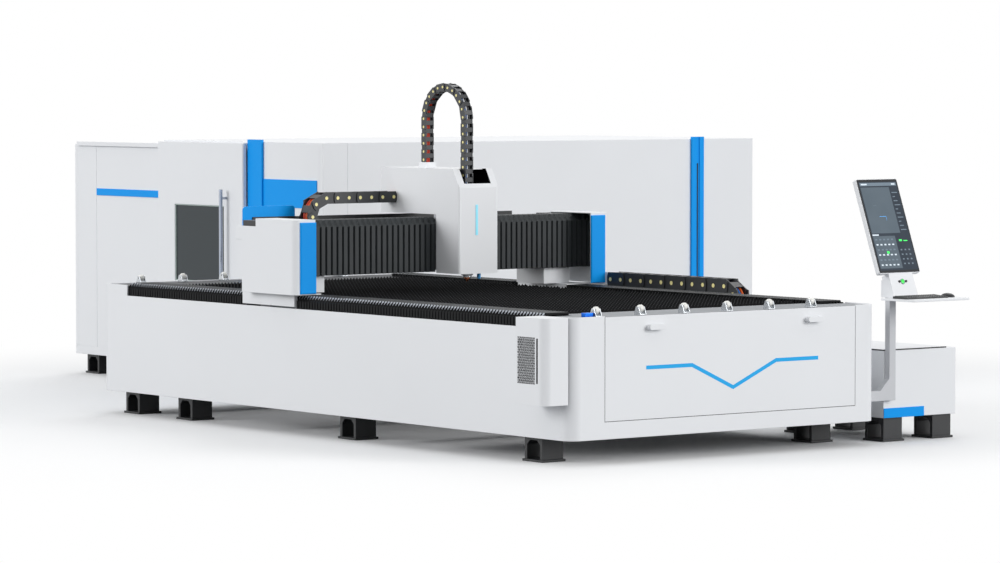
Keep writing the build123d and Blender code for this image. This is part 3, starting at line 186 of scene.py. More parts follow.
# Bed skin: folded steel sheet with a white powder coat, screwed to the frame from inside.
# The front sheet is rolled round both corners, and the sides are cut down where the bridge passes.
white_coat = powder_coat("white_powder_coat", "#E9EBEE", "#E5E7EA", 0.42, 0.35)
for node in ("bed_front_panel", "bed_left_panel", "bed_right_panel", "bed_rear_panel"):
    coated(node, node + "_sheet", white_coat, plate_edge)

# Vent box on the left front corner: a white folded box with rows of slots and one upright slit in its outer face.
# White expanded metal is clipped over the slots; a near black block behind it and in the slit is painted shade in the
# openings.
mesh_low, mesh_high = Vector((0, 82, 118)) * mm, Vector((0, 236, 376)) * mm
strand, strand_pitch, strand_lean, mesh_proud = 2.6 * mm, 15 * mm, math.radians(32), 1.2 * mm
slit_low, slit_high = Vector((2, 56, 122)) * mm, Vector((4, 70, 372)) * mm
shade_block_front, shade_block_back = Vector((0.4 * mm, 0, 0)), Vector((0.2 * mm, 0, 0))


def add_block(shape, low, high):
    low, high = Vector(low), Vector(high)
    size = Matrix.Diagonal((*(high - low), 1))
    return bmesh.ops.create_cube(shape, size=1, matrix=Matrix.Translation((low + high) / 2) @ size)["verts"]


# Cuts off what lies beyond a plane and closes the cut
def trim(shape, point, normal):
    everything = shape.verts[:] + shape.edges[:] + shape.faces[:]
    bmesh.ops.bisect_plane(shape, geom=everything, plane_co=point, plane_no=normal, clear_outer=True)
    bmesh.ops.holes_fill(shape, edges=[edge for edge in shape.edges if edge.is_boundary])


coated("corner_vent_box", "vent_box_sheet", white_coat, plate_edge)
low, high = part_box("corner_vent_box")
middle, span = (mesh_low + mesh_high) / 2, mesh_high - mesh_low
rows = math.ceil((span.y * math.cos(strand_lean) + span.z * math.sin(strand_lean)) / strand_pitch / 2) + 1
shape = bmesh.new()
for lean in (strand_lean, -strand_lean):
    for number in range(-rows, rows + 1):
        across = number * strand_pitch
        verts = add_block(shape, (-mesh_proud, across - strand / 2, -span.length),
                          (0, across + strand / 2, span.length))
        bmesh.ops.rotate(shape, verts=verts, matrix=Matrix.Rotation(lean, 3, "X"))
for normal in (Vector((0, 1, 0)), Vector((0, -1, 0)), Vector((0, 0, 1)), Vector((0, 0, -1))):
    trim(shape, normal * abs(span.dot(normal)) / 2, normal)
bmesh.ops.translate(shape, verts=shape.verts, vec=low + middle)
fitted(shape, "vent_mesh", [white_coat], "bed")


# A material with one set of patches
def patchy(name, settings, size, detail, looks):
    material, shader, place, _ = start_material(name, settings)
    drift(material, shader, place, size, detail, looks)
    return material


# Painted shade: a matt, almost black material with clumps of about 5 mm, set where shade falls behind openings, in
# joints and in hollows
near_black_shade = patchy("near_black_painted_shade", {"Roughness": 0.95, "Specular IOR Level": 0.05}, 5 * mm, 4.0,
                {"Base Color": ("#040405", "#0E0F10")})
shape = bmesh.new()
add_block(shape, low + mesh_low - shade_block_front, low + mesh_high + shade_block_back)
add_block(shape, low + slit_low, low + slit_high)
fitted(shape, "vent_painted_shade", [near_black_shade], "bed")

# Slag drawer: a welded sheet tray on runners with a white front that closes the bed, and two bar handles.
# A light blue stripe with a V in its middle is masked and sprayed across the front.
thin_edge, soft_edge = 1.5 * mm, 3 * mm
coated("slag_drawer", "slag_drawer_sheet", white_coat, thin_edge)
coated("drawer_handles", "drawer_handles_coated", white_coat, soft_edge)
stripe_blue = powder_coat("light_blue_stripe", "#1FAEF0", "#17A6EA", 0.4, 0.25)
stripe_width, stripe_proud = 22 * mm, 0.6 * mm
stripe = [Vector(corner) * mm for corner in ((295, 289), (632, 289), (938, 150), (1263, 291), (1587, 291))]
legs = [(end - start).normalized() for start, end in zip(stripe, stripe[1:])]


# A flat grid, with each of its points and that point's number along and across
def numbered_grid(along, across):
    shape = bmesh.new()
    bmesh.ops.create_grid(shape, x_segments=along, y_segments=across, size=0.5)
    return shape, [(v, round((v.co.x + 0.5) * along), round((v.co.y + 0.5) * across)) for v in shape.verts]


def thicken(shape, thickness):
    bmesh.ops.recalc_face_normals(shape, faces=shape.faces)
    bmesh.ops.solidify(shape, geom=shape.faces[:], thickness=thickness)
    return shape


low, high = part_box("slag_drawer")
shape, points = numbered_grid(len(legs), 1)
for vert, number, side in points:
    before, after = legs[max(number - 1, 0)], legs[min(number, len(legs) - 1)]
    mitre = (before + after).normalized()
    corner = stripe[number] + Vector((-mitre.y, mitre.x)) * (side - 0.5) * stripe_width / mitre.dot(after)
    vert.co = Vector((low.x + corner.x, low.y, low.z + corner.y))
thicken(shape, stripe_proud)
front = min(vert.co.y for vert in shape.verts)
bmesh.ops.translate(shape, verts=shape.verts, vec=(0, low.y - stripe_proud / 2 - front, 0))
fitted(shape, "drawer_stripe", [stripe_blue], "drawer")

# Drawer joint: a black strip inside the opening beside and below the drawer front, as painted shade.
# It stands in for the shade in the joint, which so reads as a dark line.
shade_strip_width, shade_strip_gap, shade_strip_back, shade_strip_deep = 2.6 * mm, 0.3 * mm, 2.5 * mm, 5 * mm
front = low.y + shade_strip_back
shape = bmesh.new()
for x0, x1, z0, z1 in ((low.x - shade_strip_width, low.x - shade_strip_gap, low.z - shade_strip_width, high.z),
                       (high.x + shade_strip_gap, high.x + shade_strip_width, low.z - shade_strip_width, high.z),
                       (low.x, high.x, low.z - shade_strip_width, low.z - shade_strip_gap)):
    add_block(shape, (x0, front, z0), (x1, front + shade_strip_deep, z1))
fitted(shape, "drawer_joint_shade", [near_black_shade], "bed")

# End rims: flat steel plates across both ends of the bed, screwed down inside the skin, grey; the black behind is
# painted shade.
# Six small rollers stand on each; a sheet is rolled over them, so each has a steel fork and a white nylon wheel.
rim_coat = powder_coat("rim_grey_coat", "#9A9DA1", "#929599", 0.65, 0.15)
low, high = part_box("end_rims")
shape = folded("end_rims", plate_edge)
# Painted shade: the rear plate's faces get the black coat, a darker copy of the same grey plate
for face in shape.faces:
    face.material_index = int(face.calc_center_median().y > (low.y + high.y) / 2)
stand_in(shape, "end_rims_coated", [rim_coat, black_coat_and_painted_shade], "end_rims")


# Bare metal with the lines that its finishing leaves: fine scratches stretched along the way it was worked
def worked_metal(name, code, gloss, grit, stretch):
    material, shader, place, link = start_material(name, {"Base Color": linear(code), "Metallic": 1.0})
    along = add_node(material, "ShaderNodeMapping", {"Scale": stretch}, {"Vector": place})
    lines = drift(material, shader, along.outputs["Vector"], grit, 4.0, {"Roughness": gloss})
    scratch = add_node(material, "ShaderNodeBump", {"Strength": 0.12, "Distance": 0.1 * mm}, {"Height": lines})
    link(scratch.outputs["Normal"], shader.inputs["Normal"])
    return material


# Moulded plastic: one colour through, with a soft haze in its gloss from the mould's spark-eroded face
def moulded_plastic(name, code, roughness):
    return patchy(name, {"Base Color": linear(code), "IOR": 1.5}, 8 * mm, 2.0,
                  {"Roughness": (roughness - gloss_drift, roughness + gloss_drift)})


def soften(shape, verts, edge):
    round_edges(shape, list({e for v in verts for e in v.link_edges}), edge)


def soft_block(shape, low, high, edge):
    soften(shape, add_block(shape, low, high), edge)


def paint(faces, coat):
    for face in faces:
        face.material_index = coat


# A turned part on its own Z axis, from the outline of one half in millimetres
def turned(outline, steps, coat=0, ring=False):
    shape = bmesh.new()
    points = [shape.verts.new((radius * mm, 0, height * mm)) for radius, height in outline]
    ends = points[1:] + points[:1] if ring else points[1:]
    lines = [shape.edges.new(pair) for pair in zip(points, ends)]
    bmesh.ops.spin(shape, geom=points + lines, cent=(0, 0, 0), axis=(0, 0, 1), angle=2 * math.pi, steps=steps,
                   use_merge=True)
    bmesh.ops.remove_doubles(shape, verts=shape.verts, dist=weld_reach / 10)
    bmesh.ops.recalc_face_normals(shape, faces=shape.faces)
    paint(shape.faces, coat)
    return shape


def join(shape, part, place):
    mesh = bpy.data.meshes.new("part")
    part.to_mesh(mesh)
    mesh.transform(place)
    shape.from_mesh(mesh)
    bpy.data.meshes.remove(mesh)


fork_steel = worked_metal("zinc_plated_fork_steel", "#C4C8CC", (0.18, 0.32), 2 * mm, (1, 0.1, 1))
wheel_nylon = moulded_plastic("white_nylon_wheel", "#E8E8E4", 0.35)
low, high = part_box("loading_rollers")
fork_half, base_half, base_thick = 23 * mm, 28 * mm, 8 * mm
ear_thick, ear_height, ear_taper, axle_drop = 6 * mm, 40 * mm, 0.45, 10.5 * mm
wheel_outline = [(0, -16), (11, -16), (13, -14), (18, -13), (21, -8), (21, 8), (18, 13), (13, 14), (11, 16), (0, 16)]
axle_outline = [(0, -26), (6, -26), (6, 26), (0, 26)]
wheel_steps, axle_steps, rollers_in_row = 28, 12, 6
roller = bmesh.new()
soft_block(roller, (-fork_half, -base_half, 0), (fork_half, base_half, base_thick), thin_edge)
for left in (-fork_half, fork_half - ear_thick):
    ear = add_block(roller, (left, -base_half, base_thick),
                    (left + ear_thick, base_half, base_thick + ear_height))
    for vert in ear:
        if vert.co.z > base_thick + ear_height / 2:
            vert.co.y *= ear_taper
    soften(roller, ear, thin_edge)
across = Matrix.Translation((0, 0, base_thick + ear_height - axle_drop)) @ Matrix.Rotation(math.pi / 2, 4, "Y")
join(roller, turned(wheel_outline, wheel_steps, coat=1), across)
join(roller, turned(axle_outline, axle_steps), across)
shape = bmesh.new()
for number in range(rollers_in_row):
    share = number / (rollers_in_row - 1)
    x = low.x + fork_half + share * (high.x - low.x - 2 * fork_half)
    for y in (low.y + base_half, high.y - base_half):
        join(shape, roller, Matrix.Translation((x, y, low.z)))
stand_in(shape, "loading_rollers_forked", [fork_steel, wheel_nylon], "loading_rollers")

# Corner stop beside the first roller: a small machined block that a sheet's corner is pushed against.
# It is aluminium, anodised blue, and screwed to the rim.
blue_anodised = worked_metal("blue_anodised_aluminium", "#1E5FC0", (0.3, 0.42), 2 * mm, (0.1, 1, 1))
stop_low, stop_high = Vector((-66, 8, 0)) * mm, Vector((-12, 48, 26)) * mm
shape = bmesh.new()
soft_block(shape, low + stop_low, low + stop_high, soft_edge)
fitted(shape, "corner_stop", [blue_anodised], "bed")

# Guide rails and racks: hardened steel bar, ground along its length and bolted down.
# Grinding leaves fine lines along the bar, 0.5 mm apart, drawn at 3 mm so that they show.
ground_steel = worked_metal("ground_rail_steel", "#A9AEB3", (0.22, 0.4), 3 * mm, (1, 0.05, 1))


def recoat(node, material):
    slots = frame["nodes"][node].data.materials
    slots.clear()
    slots.append(material)


for node in ("y_guideways", "x_guide_rails"):
    recoat(node, ground_steel)

# Support slats: 6 mm hot rolled strip, cut to a row of teeth and slotted into a welded carrier frame.
# Heat and slag leave the strip dull and black, in blotches of about 40 mm; the tips are painted paler as a painted
# highlight.
slat_count, teeth, slat_thick, tooth_height, tip_highlight_band = 36, 72, 6 * mm, 20 * mm, 5 * mm
low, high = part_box("support_slats")
burnt_steel, shader, place, link = start_material("burnt_slat_steel", {"Roughness": 0.75, "Specular IOR Level": 0.15})
drift(burnt_steel, shader, place, 40 * mm, 5.0, {"Base Color": ("#060607", "#161719")})
burn = shader.inputs["Base Color"].links[0].from_socket
# Painted highlight: the base colour turns pale over the top 5 mm of each tooth
height = add_node(burnt_steel, "ShaderNodeSeparateXYZ", {}, {0: place}).outputs["Z"]
tip_highlight = add_node(burnt_steel, "ShaderNodeMapRange", {"From Min": high.z - tip_highlight_band, "From Max": high.z}, {"Value": height})
strip = add_node(burnt_steel, "ShaderNodeMix", {"data_type": "RGBA", 7: linear("#46484A")},
                 {0: tip_highlight.outputs["Result"], 6: burn})
link(strip.outputs[2], shader.inputs["Base Color"])
slat, points = numbered_grid(2 * teeth, 1)
for vert, number, upper in points:
    top = high.z - (0 if number % 2 else tooth_height)
    vert.co = Vector((low.x + (vert.co.x + 0.5) * (high.x - low.x), 0, top if upper else low.z))
thicken(slat, slat_thick)
near = min(vert.co.y for vert in slat.verts)
shape = bmesh.new()
for number in range(slat_count):
    y = low.y + number * (high.y - low.y - slat_thick) / (slat_count - 1)
    join(shape, slat, Matrix.Translation((0, y - near, 0)))
stand_in(shape, "sawtooth_slats", [burnt_steel], "support_slats")
coated("slat_carrier", "slat_carrier_coated", black_coat_and_painted_shade, plate_edge)

# Pleated covers over the guideways: coated polyester cloth on plastic frames, welded into flat-topped pleats.
# Each hangs between a fixed and a moving end and closes up evenly, so it is made in stretches. On the way covers a pale
# coat on the shoulder crests is a painted glint, and the grey cloth on the top crests is a painted sheen.
stretch_shares = (0, 0.0345, 0.08, 0.2, 0.8, 0.92, 0.9655, 1)
crest_shares, cloth_thick = (0.0, 0.2, 0.8), 1.5 * mm


# Cloth: dark and half matt, faded in patches, with a fine weave of 0.6 mm, drawn at 4 mm so that it shows
def coated_cloth(name, dark, faded, specular):
    material, shader, place, link = start_material(name, {"Roughness": 0.5, "Specular IOR Level": specular})
    drift(material, shader, place, 180 * mm, 3.0, {"Base Color": (dark, faded)})
    weave = add_node(material, "ShaderNodeTexVoronoi", {"Scale": 1 / (4 * mm)}, {"Vector": place})
    nap = add_node(material, "ShaderNodeBump", {"Strength": 0.08, "Distance": 0.3 * mm},
                   {"Height": weave.outputs["Distance"]})
    link(nap.outputs["Normal"], shader.inputs["Normal"])
    return material


# Bakes the piece's place into its mesh
def share_travel(piece, fixed, moving, low_point, high_point, low_weight, high_weight):
    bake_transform(piece)


# One stretch of pleats; the section gives each corner's place on a crest and in the valley beside it, and some of its
# columns get a painted light coat on the crests
def pleat_strip(section, along, first, last, pleats, crest_painted_light):
    rows, columns = 3 * pleats, len(section) - 1
    shape, points = numbered_grid(rows, columns)
    for face in shape.faces:
        middle = face.calc_center_median()
        crest, column = int((middle.x + 0.5) * rows) % 3 == 1, int((middle.y + 0.5) * columns)
        face.material_index = crest_painted_light.get(column, 0) if crest else 0
    for vert, row, column in points:
        across, up = section[column][row % 3 == 0]
        reach = first + (last - first) * (row // 3 + crest_shares[row % 3]) / pleats
        vert.co = Vector((reach, across, up) if along == "x" else (across, reach, up))
    return thicken(shape, cloth_thick)


def pleated_cover(name, node, sections, along, fixed_end, moving_end, pitch, fixed, moving, coats, crest_painted_light):
    axis = Vector((1, 0, 0)) if along == "x" else Vector((0, 1, 0))
    pleats = round(abs(moving_end - fixed_end) / pitch)
    edges = [round(share * pleats) for share in stretch_shares]
    for number, (first, last) in enumerate(zip(edges, edges[1:])):
        reach = [fixed_end + (moving_end - fixed_end) * edge / pleats for edge in (first, last)]
        shape = bmesh.new()
        for section in sections:
            join(shape, pleat_strip(section, along, *reach, last - first, crest_painted_light), Matrix())
        piece = stand_for(shape, f"{name}_{number + 1}", coats, node)
        share_travel(piece, fixed, moving, axis * reach[0], axis * reach[1], first / pleats, last / pleats)


grey_cloth_and_painted_sheen = coated_cloth("grey_coated_cloth_and_painted_sheen", "#212527", "#303538", 0.35)
way_cloth_and_painted_light = [coated_cloth("black_coated_cloth", "#07080A", "#0E1012", 0.12),
             moulded_plastic("painted_glint_on_shoulder", "#A9AFB7", 0.4), grey_cloth_and_painted_sheen]
# Painted light on the crests: a pale glint on the upper shoulder and the grey cloth as sheen on the top
way_pitch, way_crest_painted_light = 28 * mm, {2: 1, 3: 2}
way_section = [((0, 0), (11, 0)), ((0, 76), (11, 73)), ((17, 90), (8, 98)), ((26, 110), (30, 99)),
               ((194, 110), (183, 99)), ((194, 0), (183, 0))]
for name, node, order in (("front_way_cover", "y_bellows_front", 1), ("rear_way_cover", "y_bellows_rear", -1)):
    low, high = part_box(node)
    sides = [[[(edge + turn * across * mm, low.z + up * mm) for across, up in corner] for corner in way_section]
             for edge, turn in ((low.x, 1), (high.x, -1))]
    fixed_end, moving_end = (low.y, high.y)[::order]
    pleated_cover(name, node, sides, "y", fixed_end, moving_end, way_pitch, "bed", "gantry", way_cloth_and_painted_light, way_crest_painted_light)

# Drag chain along the bed's right side, in a black folded trough: moulded links that snap together at their pins.
# Every second link sits inside its neighbours, yellow caps close the pins, and crossbars above and below keep in the
# cables and hoses, which lie in two layers.
end_share, plate_share, bar_share, inner_lap, outer_lap = 0.3, 0.07, 0.27, 0.2, 0.36
plate_sides, plate_radius, nose_squash, nose, cap_sides = 8, 0.54, 0.4, 0.2, 12
cap_proud, cap_thick, bar_inset, bar_half = 0.8 * mm, 1.5 * mm, 4 * mm, 2.5 * mm
cable_sides, bend_steps, far_off = 10, 24, 500

# Polyamide: moulded with glass fibre, dark and half matt, with a grain of about 5 mm
chain_polyamide = patchy("moulded_chain_polyamide", {"IOR": 1.53}, 5 * mm, 2.0,
                         {"Base Color": ("#1B1D20", "#2B2E32"), "Roughness": (0.34, 0.5)})
chain_coats = [chain_polyamide, moulded_plastic("yellow_pin_cap", "#F2E7A0", 0.4),
               moulded_plastic("red_cable_sheath", "#C23A22", 0.45),
               moulded_plastic("blue_cable_sheath", "#2467B5", 0.45),
               moulded_plastic("white_air_hose", "#D8D9D6", 0.4),
               moulded_plastic("black_cable_sheath", "#24262A", 0.5),
               moulded_plastic("orange_motor_cable", "#E0601C", 0.45)]
red, blue, white, black, orange = 2, 3, 4, 5, 6


# One link on its own axes: X along the run, Y across the bend, Z across the width
def chain_link(pitch, height, width, inner, cap):
    plate, half = plate_share * width, pitch / 2 + height * (inner_lap if inner else outer_lap)
    shape = bmesh.new()
    for side in (-1, 1):
        outside = side * (width / 2 - (plate if inner else 0))
        discs = [(0, height * plate_radius, plate_sides, outside, plate, 0)]
        if not inner:
            discs += [(end * pitch / 2, cap, cap_sides, outside + side * cap_proud, cap_thick, 1) for end in (-1, 1)]
        for along, radius, segments, face_z, thick, coat in discs:
            disc = bmesh.new()
            bmesh.ops.create_circle(disc, cap_ends=True, segments=segments, radius=radius,
                                    matrix=Matrix.Rotation(math.pi / segments, 4, "Z"))
            for vert in disc.verts:
                if coat == 0:
                    vert.co.x = vert.co.x * nose_squash + math.copysign(half - height * nose, vert.co.x)
                vert.co += Vector((along, 0, face_z))
            disc.normal_update()
            if disc.faces[:][0].normal.z * side < 0:
                bmesh.ops.reverse_faces(disc, faces=disc.faces)
            bmesh.ops.solidify(disc, geom=disc.faces[:], thickness=thick)
            paint(disc.faces, coat)
            join(shape, disc, Matrix())
    bar, reach = pitch * bar_share, width / 2 - (2 if inner else 1) * plate
    for side in (-1, 1):
        middle = side * (height / 2 - bar_inset)
        add_block(shape, (-bar, middle - bar_half, -reach), (bar, middle + bar_half, reach))
    return shape


# The chain in its own plane: X along both runs, Y towards the moving run, the bend at X below 0. Each run is cut into
# stretches, and the bend is a piece of its own
def drag_chain(node, bend, turn, radius, pitch, height, width, cap, moving_run, links, fixed, moving, cables, cuts):
    axes, arc = Matrix.Translation(bend) @ Matrix(turn).to_4x4(), math.pi * radius
    fixed_run = (links + 2 * end_share) * pitch - moving_run - arc

    def pin(number):
        reach = (end_share + number) * pitch
        if reach <= moving_run:
            return Vector((moving_run - reach, radius, 0))
        if reach >= moving_run + arc:
            return Vector((reach - moving_run - arc, -radius, 0))
        turn = (reach - moving_run) / radius
        return Vector((-radius * math.sin(turn), radius * math.cos(turn), 0))

    moulds = [chain_link(pitch, height, width, inner, cap) for inner in (False, True)]
    crosswise = Matrix.Rotation(math.pi / 2, 4, "Y")
    stretches = [(0, 0, 0, 0)]
    for side, run in ((1, moving_run), (-1, fixed_run)):
        stretches += [(side, first, last, run) for first, last in zip(cuts, cuts[1:])]
    for number, (side, first, last, run) in enumerate(stretches):
        near, far = 2 * first * run, 2 * last * run
        shape = bmesh.new()
        for item in range(links):
            a, b = pin(item), pin(item + 1)
            middle = (a + b) / 2
            if side == 0:
                held = middle.x < 0
            else:
                held = middle.y * side > 0 and near <= middle.x and (middle.x < far or last == cuts[-1])
            if held:
                turn = Matrix.Rotation(math.atan2(b.y - a.y, b.x - a.x), 4, "Z")
                join(shape, moulds[item % 2], Matrix.Translation(middle) @ turn)
        for sheath, thick, offset, lane in cables:
            cable, half, height_in = bmesh.new(), thick * mm / 2, radius + offset * mm
            if side:
                middle = Matrix.Translation(((near + far) / 2, side * height_in, lane * width))
                bmesh.ops.create_cone(cable, cap_ends=True, segments=cable_sides, radius1=half, radius2=half,
                                      depth=far - near, matrix=middle @ crosswise)
            else:
                start = Matrix.Translation((0, height_in, lane * width))
                ring = bmesh.ops.create_circle(cable, segments=cable_sides, radius=half, matrix=start @ crosswise)
                bmesh.ops.spin(cable, geom=ring["verts"] + cable.edges[:], cent=(0, 0, 0), axis=(0, 0, 1),
                               angle=math.pi, steps=bend_steps)
                bmesh.ops.holes_fill(cable, edges=cable.edges)
                bmesh.ops.recalc_face_normals(cable, faces=cable.faces)
            paint(cable.faces, sheath)
            join(shape, cable, Matrix())
        bmesh.ops.transform(shape, matrix=axes, verts=shape.verts)
        piece = stand_for(shape, f"{node}_links_{number + 1}", chain_coats, node)
        if side == 0:
            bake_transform(piece)
        else:
            points = [axes @ Vector((reach, 0, 0)) for reach in (near, far)][::side]
            weights = [0.5 + side * first, 0.5 + side * last][::side]
            share_travel(piece, fixed, moving, *points, *weights)


travel_cuts = (0, 0.3, 0.44, 0.5)
way_cables = [(black, 18, 12, -0.26), (blue, 15, 12, -0.02), (orange, 16, 12, 0.22), (red, 20, -12, -0.22),
              (black, 18, -12, 0.04), (white, 14, -12, 0.25)]
bend_radius, way_link_height, way_link_pitch, way_links, way_cap = 110 * mm, 90 * mm, 100 * mm, 21, 13 * mm
coated("y_chain_trough", "way_chain_trough", black_coat_and_painted_shade, thin_edge)
low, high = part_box("y_chain")
bend = Vector(((low.x + high.x) / 2, low.y + bend_radius + way_link_height / 2, (low.z + high.z) / 2))
drag_chain("y_chain", bend, ((0, 0, 1), (1, 0, 0), (0, 1, 0)), bend_radius, way_link_pitch, way_link_height,
           high.x - low.x, way_cap, high.y - bend.y, way_links, "bed", "gantry", way_cables, travel_cuts)

# Bridge: a welded beam on two saddles, cased at both ends by folded sheet covers that are open towards the beam, all in
# the white coat. A blue enamelled strip is screwed to the front of each end and a blue plate stands behind the left
# one; the small junction boxes on the covers' steps are black.
blue_enamel = powder_coat("blue_gloss_enamel", "#129FF4", "#0A96EE", 0.35, 0.12)
inner_wall = 6.5 * mm
for node in ("gantry_saddles", "gantry_beam"):
    coated(node, node + "_coated", white_coat, plate_edge)
for node, side in (("left_end_cover", 1), ("right_end_cover", -1)):
    shape = solid_copy(node)
    trim(shape, (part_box(node)[side > 0].x - side * inner_wall, 0, 0), (side, 0, 0))
    stand_in(break_edges(shape, soft_edge), node + "_sheet", [white_coat], node)
coated("gantry_accents", "bridge_strips", blue_enamel, thin_edge)
coated("end_junction_boxes", "junction_boxes_coated", black_coat_and_painted_shade, soft_edge)

# Pleated covers each side of the head: the same cloth, taller, hung over the beam's front and closed by the head.
# Their outer ends are riveted to a plate inside the end covers.
head_low, head_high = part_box("head_housing")
low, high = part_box("x_bellows")
beam_pitch, end_gap = 41 * mm, 12 * mm
deep, tall = (high.y - low.y) / mm, (high.z - low.z) / mm
beam_section = [((deep, 0), (deep, 6)), ((0, 0), (19, 6)), ((0, tall - 40), (19, tall - 44)),
                ((20, tall - 22), (10, tall - 13)), ((30, tall), (36, tall - 15)), ((deep, tall), (deep, tall - 15))]
section = [[(low.y + across * mm, low.z + up * mm) for across, up in corner] for corner in beam_section]
for name, start, end in (("left_beam_cover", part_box("left_end_cover")[0].x + end_gap, head_low.x),
                         ("right_beam_cover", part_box("right_end_cover")[1].x - end_gap, head_high.x)):
    pleated_cover(name, "x_bellows", [section], "x", start, end, beam_pitch, "gantry", "carriage", [grey_cloth_and_painted_sheen], {})

# Drag chain behind the beam: the same moulded links one size smaller, in a tray of folded sheet with the black coat.
# Its lower run is screwed to the tray and its upper run to the carriage.
beam_link_height, beam_link_pitch, beam_links, beam_cap = 70 * mm, 86 * mm, 15, 11 * mm
beam_cables = [(red, 18, 9, -0.26), (orange, 16, 9, -0.03), (red, 18, 9, 0.22), (black, 16, -9, -0.2),
               (blue, 14, -9, 0.04), (red, 16, -9, 0.24)]
coated("x_chain_tray", "beam_chain_tray", black_coat_and_painted_shade, thin_edge)
low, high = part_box("x_chain")
bend = Vector((low.x + bend_radius + beam_link_height / 2, (low.y + high.y) / 2, (low.z + high.z) / 2))
drag_chain("x_chain", bend, ((1, 0, 0), (0, 0, -1), (0, 1, 0)), bend_radius, beam_link_pitch, beam_link_height,
           high.y - low.y, beam_cap, high.x - bend.x, beam_links, "gantry", "carriage", beam_cables, travel_cuts)

# Head: a folded sheet housing on a machined aluminium carriage plate, white outside, with painted shade in black on the
# faces inside its cavity.
# A slim strip lamp with a cyan diffuser is let into its front; its acrylic glows evenly.
cavity_middle, stand_height, wide_edge = head_low + Vector((152, 215, 398)) * mm, 34 * mm, 4 * mm
shape = folded("head_housing", wide_edge)
# Painted shade: faces inside the cavity, below the chain's stand, get the near black material
for face in shape.faces:
    middle = face.calc_center_median()
    faces_in = (middle - cavity_middle).dot(face.normal) < 0
    face.material_index = int(faces_in and middle.z < head_high.z - stand_height)
stand_in(shape, "head_housing_sheet", [white_coat, near_black_shade], "head_housing")
milled_alloy = worked_metal("milled_aluminium", "#C9CCD0", (0.28, 0.45), 2 * mm, (0.08, 1, 1))
recoat("carriage_plate", milled_alloy)
diffuser = patchy("cyan_lamp_diffuser", {"Base Color": linear("#86D6EE"), "Roughness": 0.4, "Emission Strength": 0.25},
                  30 * mm, 0.0, {"Emission Color": ("#7FD8EE", "#A4E8F5")})
low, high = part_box("light_strip")
strip_slim, strip_edge = Vector((5 * mm, 0, 0)), 1.2 * mm
shape = bmesh.new()
soft_block(shape, low + strip_slim, high - strip_slim, strip_edge)
stand_in(shape, "light_strip_cover", [diffuser], "light_strip")

# Drag chain loop over the head: small open links that carry the laser fibre, gas hoses and sensor leads.
# Its rear end is screwed to a stand on the housing and its front end to the Z slide, so the loop rises with the slide.
loop_link_height, loop_radius, loop_links, loop_cap = 48 * mm, 203 * mm, 27, 8 * mm
loop_cables = [(blue, 9, 9, 0.24), (white, 9, 9, 0.06), (black, 12, 9, -0.16), (red, 13, -8, 0.2),
               (red, 13, -8, -0.04), (black, 11, -8, -0.25)]
low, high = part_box("z_chain")
bend = Vector(((low.x + high.x) / 2, low.y + loop_radius + loop_link_height / 2,
               high.z - loop_radius - loop_link_height / 2))
front_run, rear_run = bend.z - low.z, bend.z - head_high.z
loop_pitch = (front_run + math.pi * loop_radius + rear_run) / (loop_links + 2 * end_share)
drag_chain("z_chain", bend, ((0, 0, -1), (0, -1, 0), (-1, 0, 0)), loop_radius, loop_pitch, loop_link_height,
           high.x - low.x, loop_cap, front_run, loop_links, "carriage", "head", loop_cables,
           (travel_cuts[0], travel_cuts[-1]))

# Cutting head: milled aluminium blocks on the Z slide, with a steel ring nut that clamps a turned copper nozzle.
# A thin blue gas lance is clamped beside the nozzle.
recoat("cutting_head", milled_alloy)
turned_steel = worked_metal("turned_ring_steel", "#BFC3C7", (0.16, 0.3), 1 * mm, (1, 1, 0.2))
turned_copper = worked_metal("turned_copper", "#C97B55", (0.2, 0.34), 1 * mm, (1, 1, 0.2))
ring_outline = [(0, 38), (24, 38), (28, 37), (30, 34), (30, 28), (27, 24), (0, 24)]
tip_outline = [(0, 24), (20, 24), (20, 20), (17, 18), (9, 5), (7, 0), (2.5, 0), (2.5, 4), (0, 4)]
nozzle_steps, lance_steps = 40, 20
low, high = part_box("nozzle")
axis = Vector(((low.x + high.x) / 2, (low.y + high.y) / 2, low.z))
shape = bmesh.new()
for coat, outline in enumerate((ring_outline, tip_outline)):
    join(shape, turned(outline, nozzle_steps, coat), Matrix.Translation(axis))
stand_in(shape, "nozzle_turned", [turned_steel, turned_copper], "nozzle")
lance_outline = [(0, 0), (5, 0), (12, 6), (12, 105), (0, 105)]
lance_offset, lance_drop, lance_length = 92 * mm, 27 * mm, 105 * mm
clamp_thick, clamp_half, clamp_lap = 14 * mm, 14 * mm, 10 * mm
lance_tip = Vector((axis.x + lance_offset, axis.y, high.z - lance_drop))
clamp_top = lance_tip.z + lance_length
shape = bmesh.new()
join(shape, turned(lance_outline, lance_steps, 1), Matrix.Translation(lance_tip))
soft_block(shape, (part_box("cutting_head")[1].x - clamp_lap, axis.y - clamp_half, clamp_top - clamp_thick),
           (lance_tip.x + clamp_half, axis.y + clamp_half, clamp_top), plate_edge)
fitted(shape, "gas_lance", [milled_alloy, moulded_plastic("blue_lance_sleeve", "#4DB4FA", 0.35)], "head")

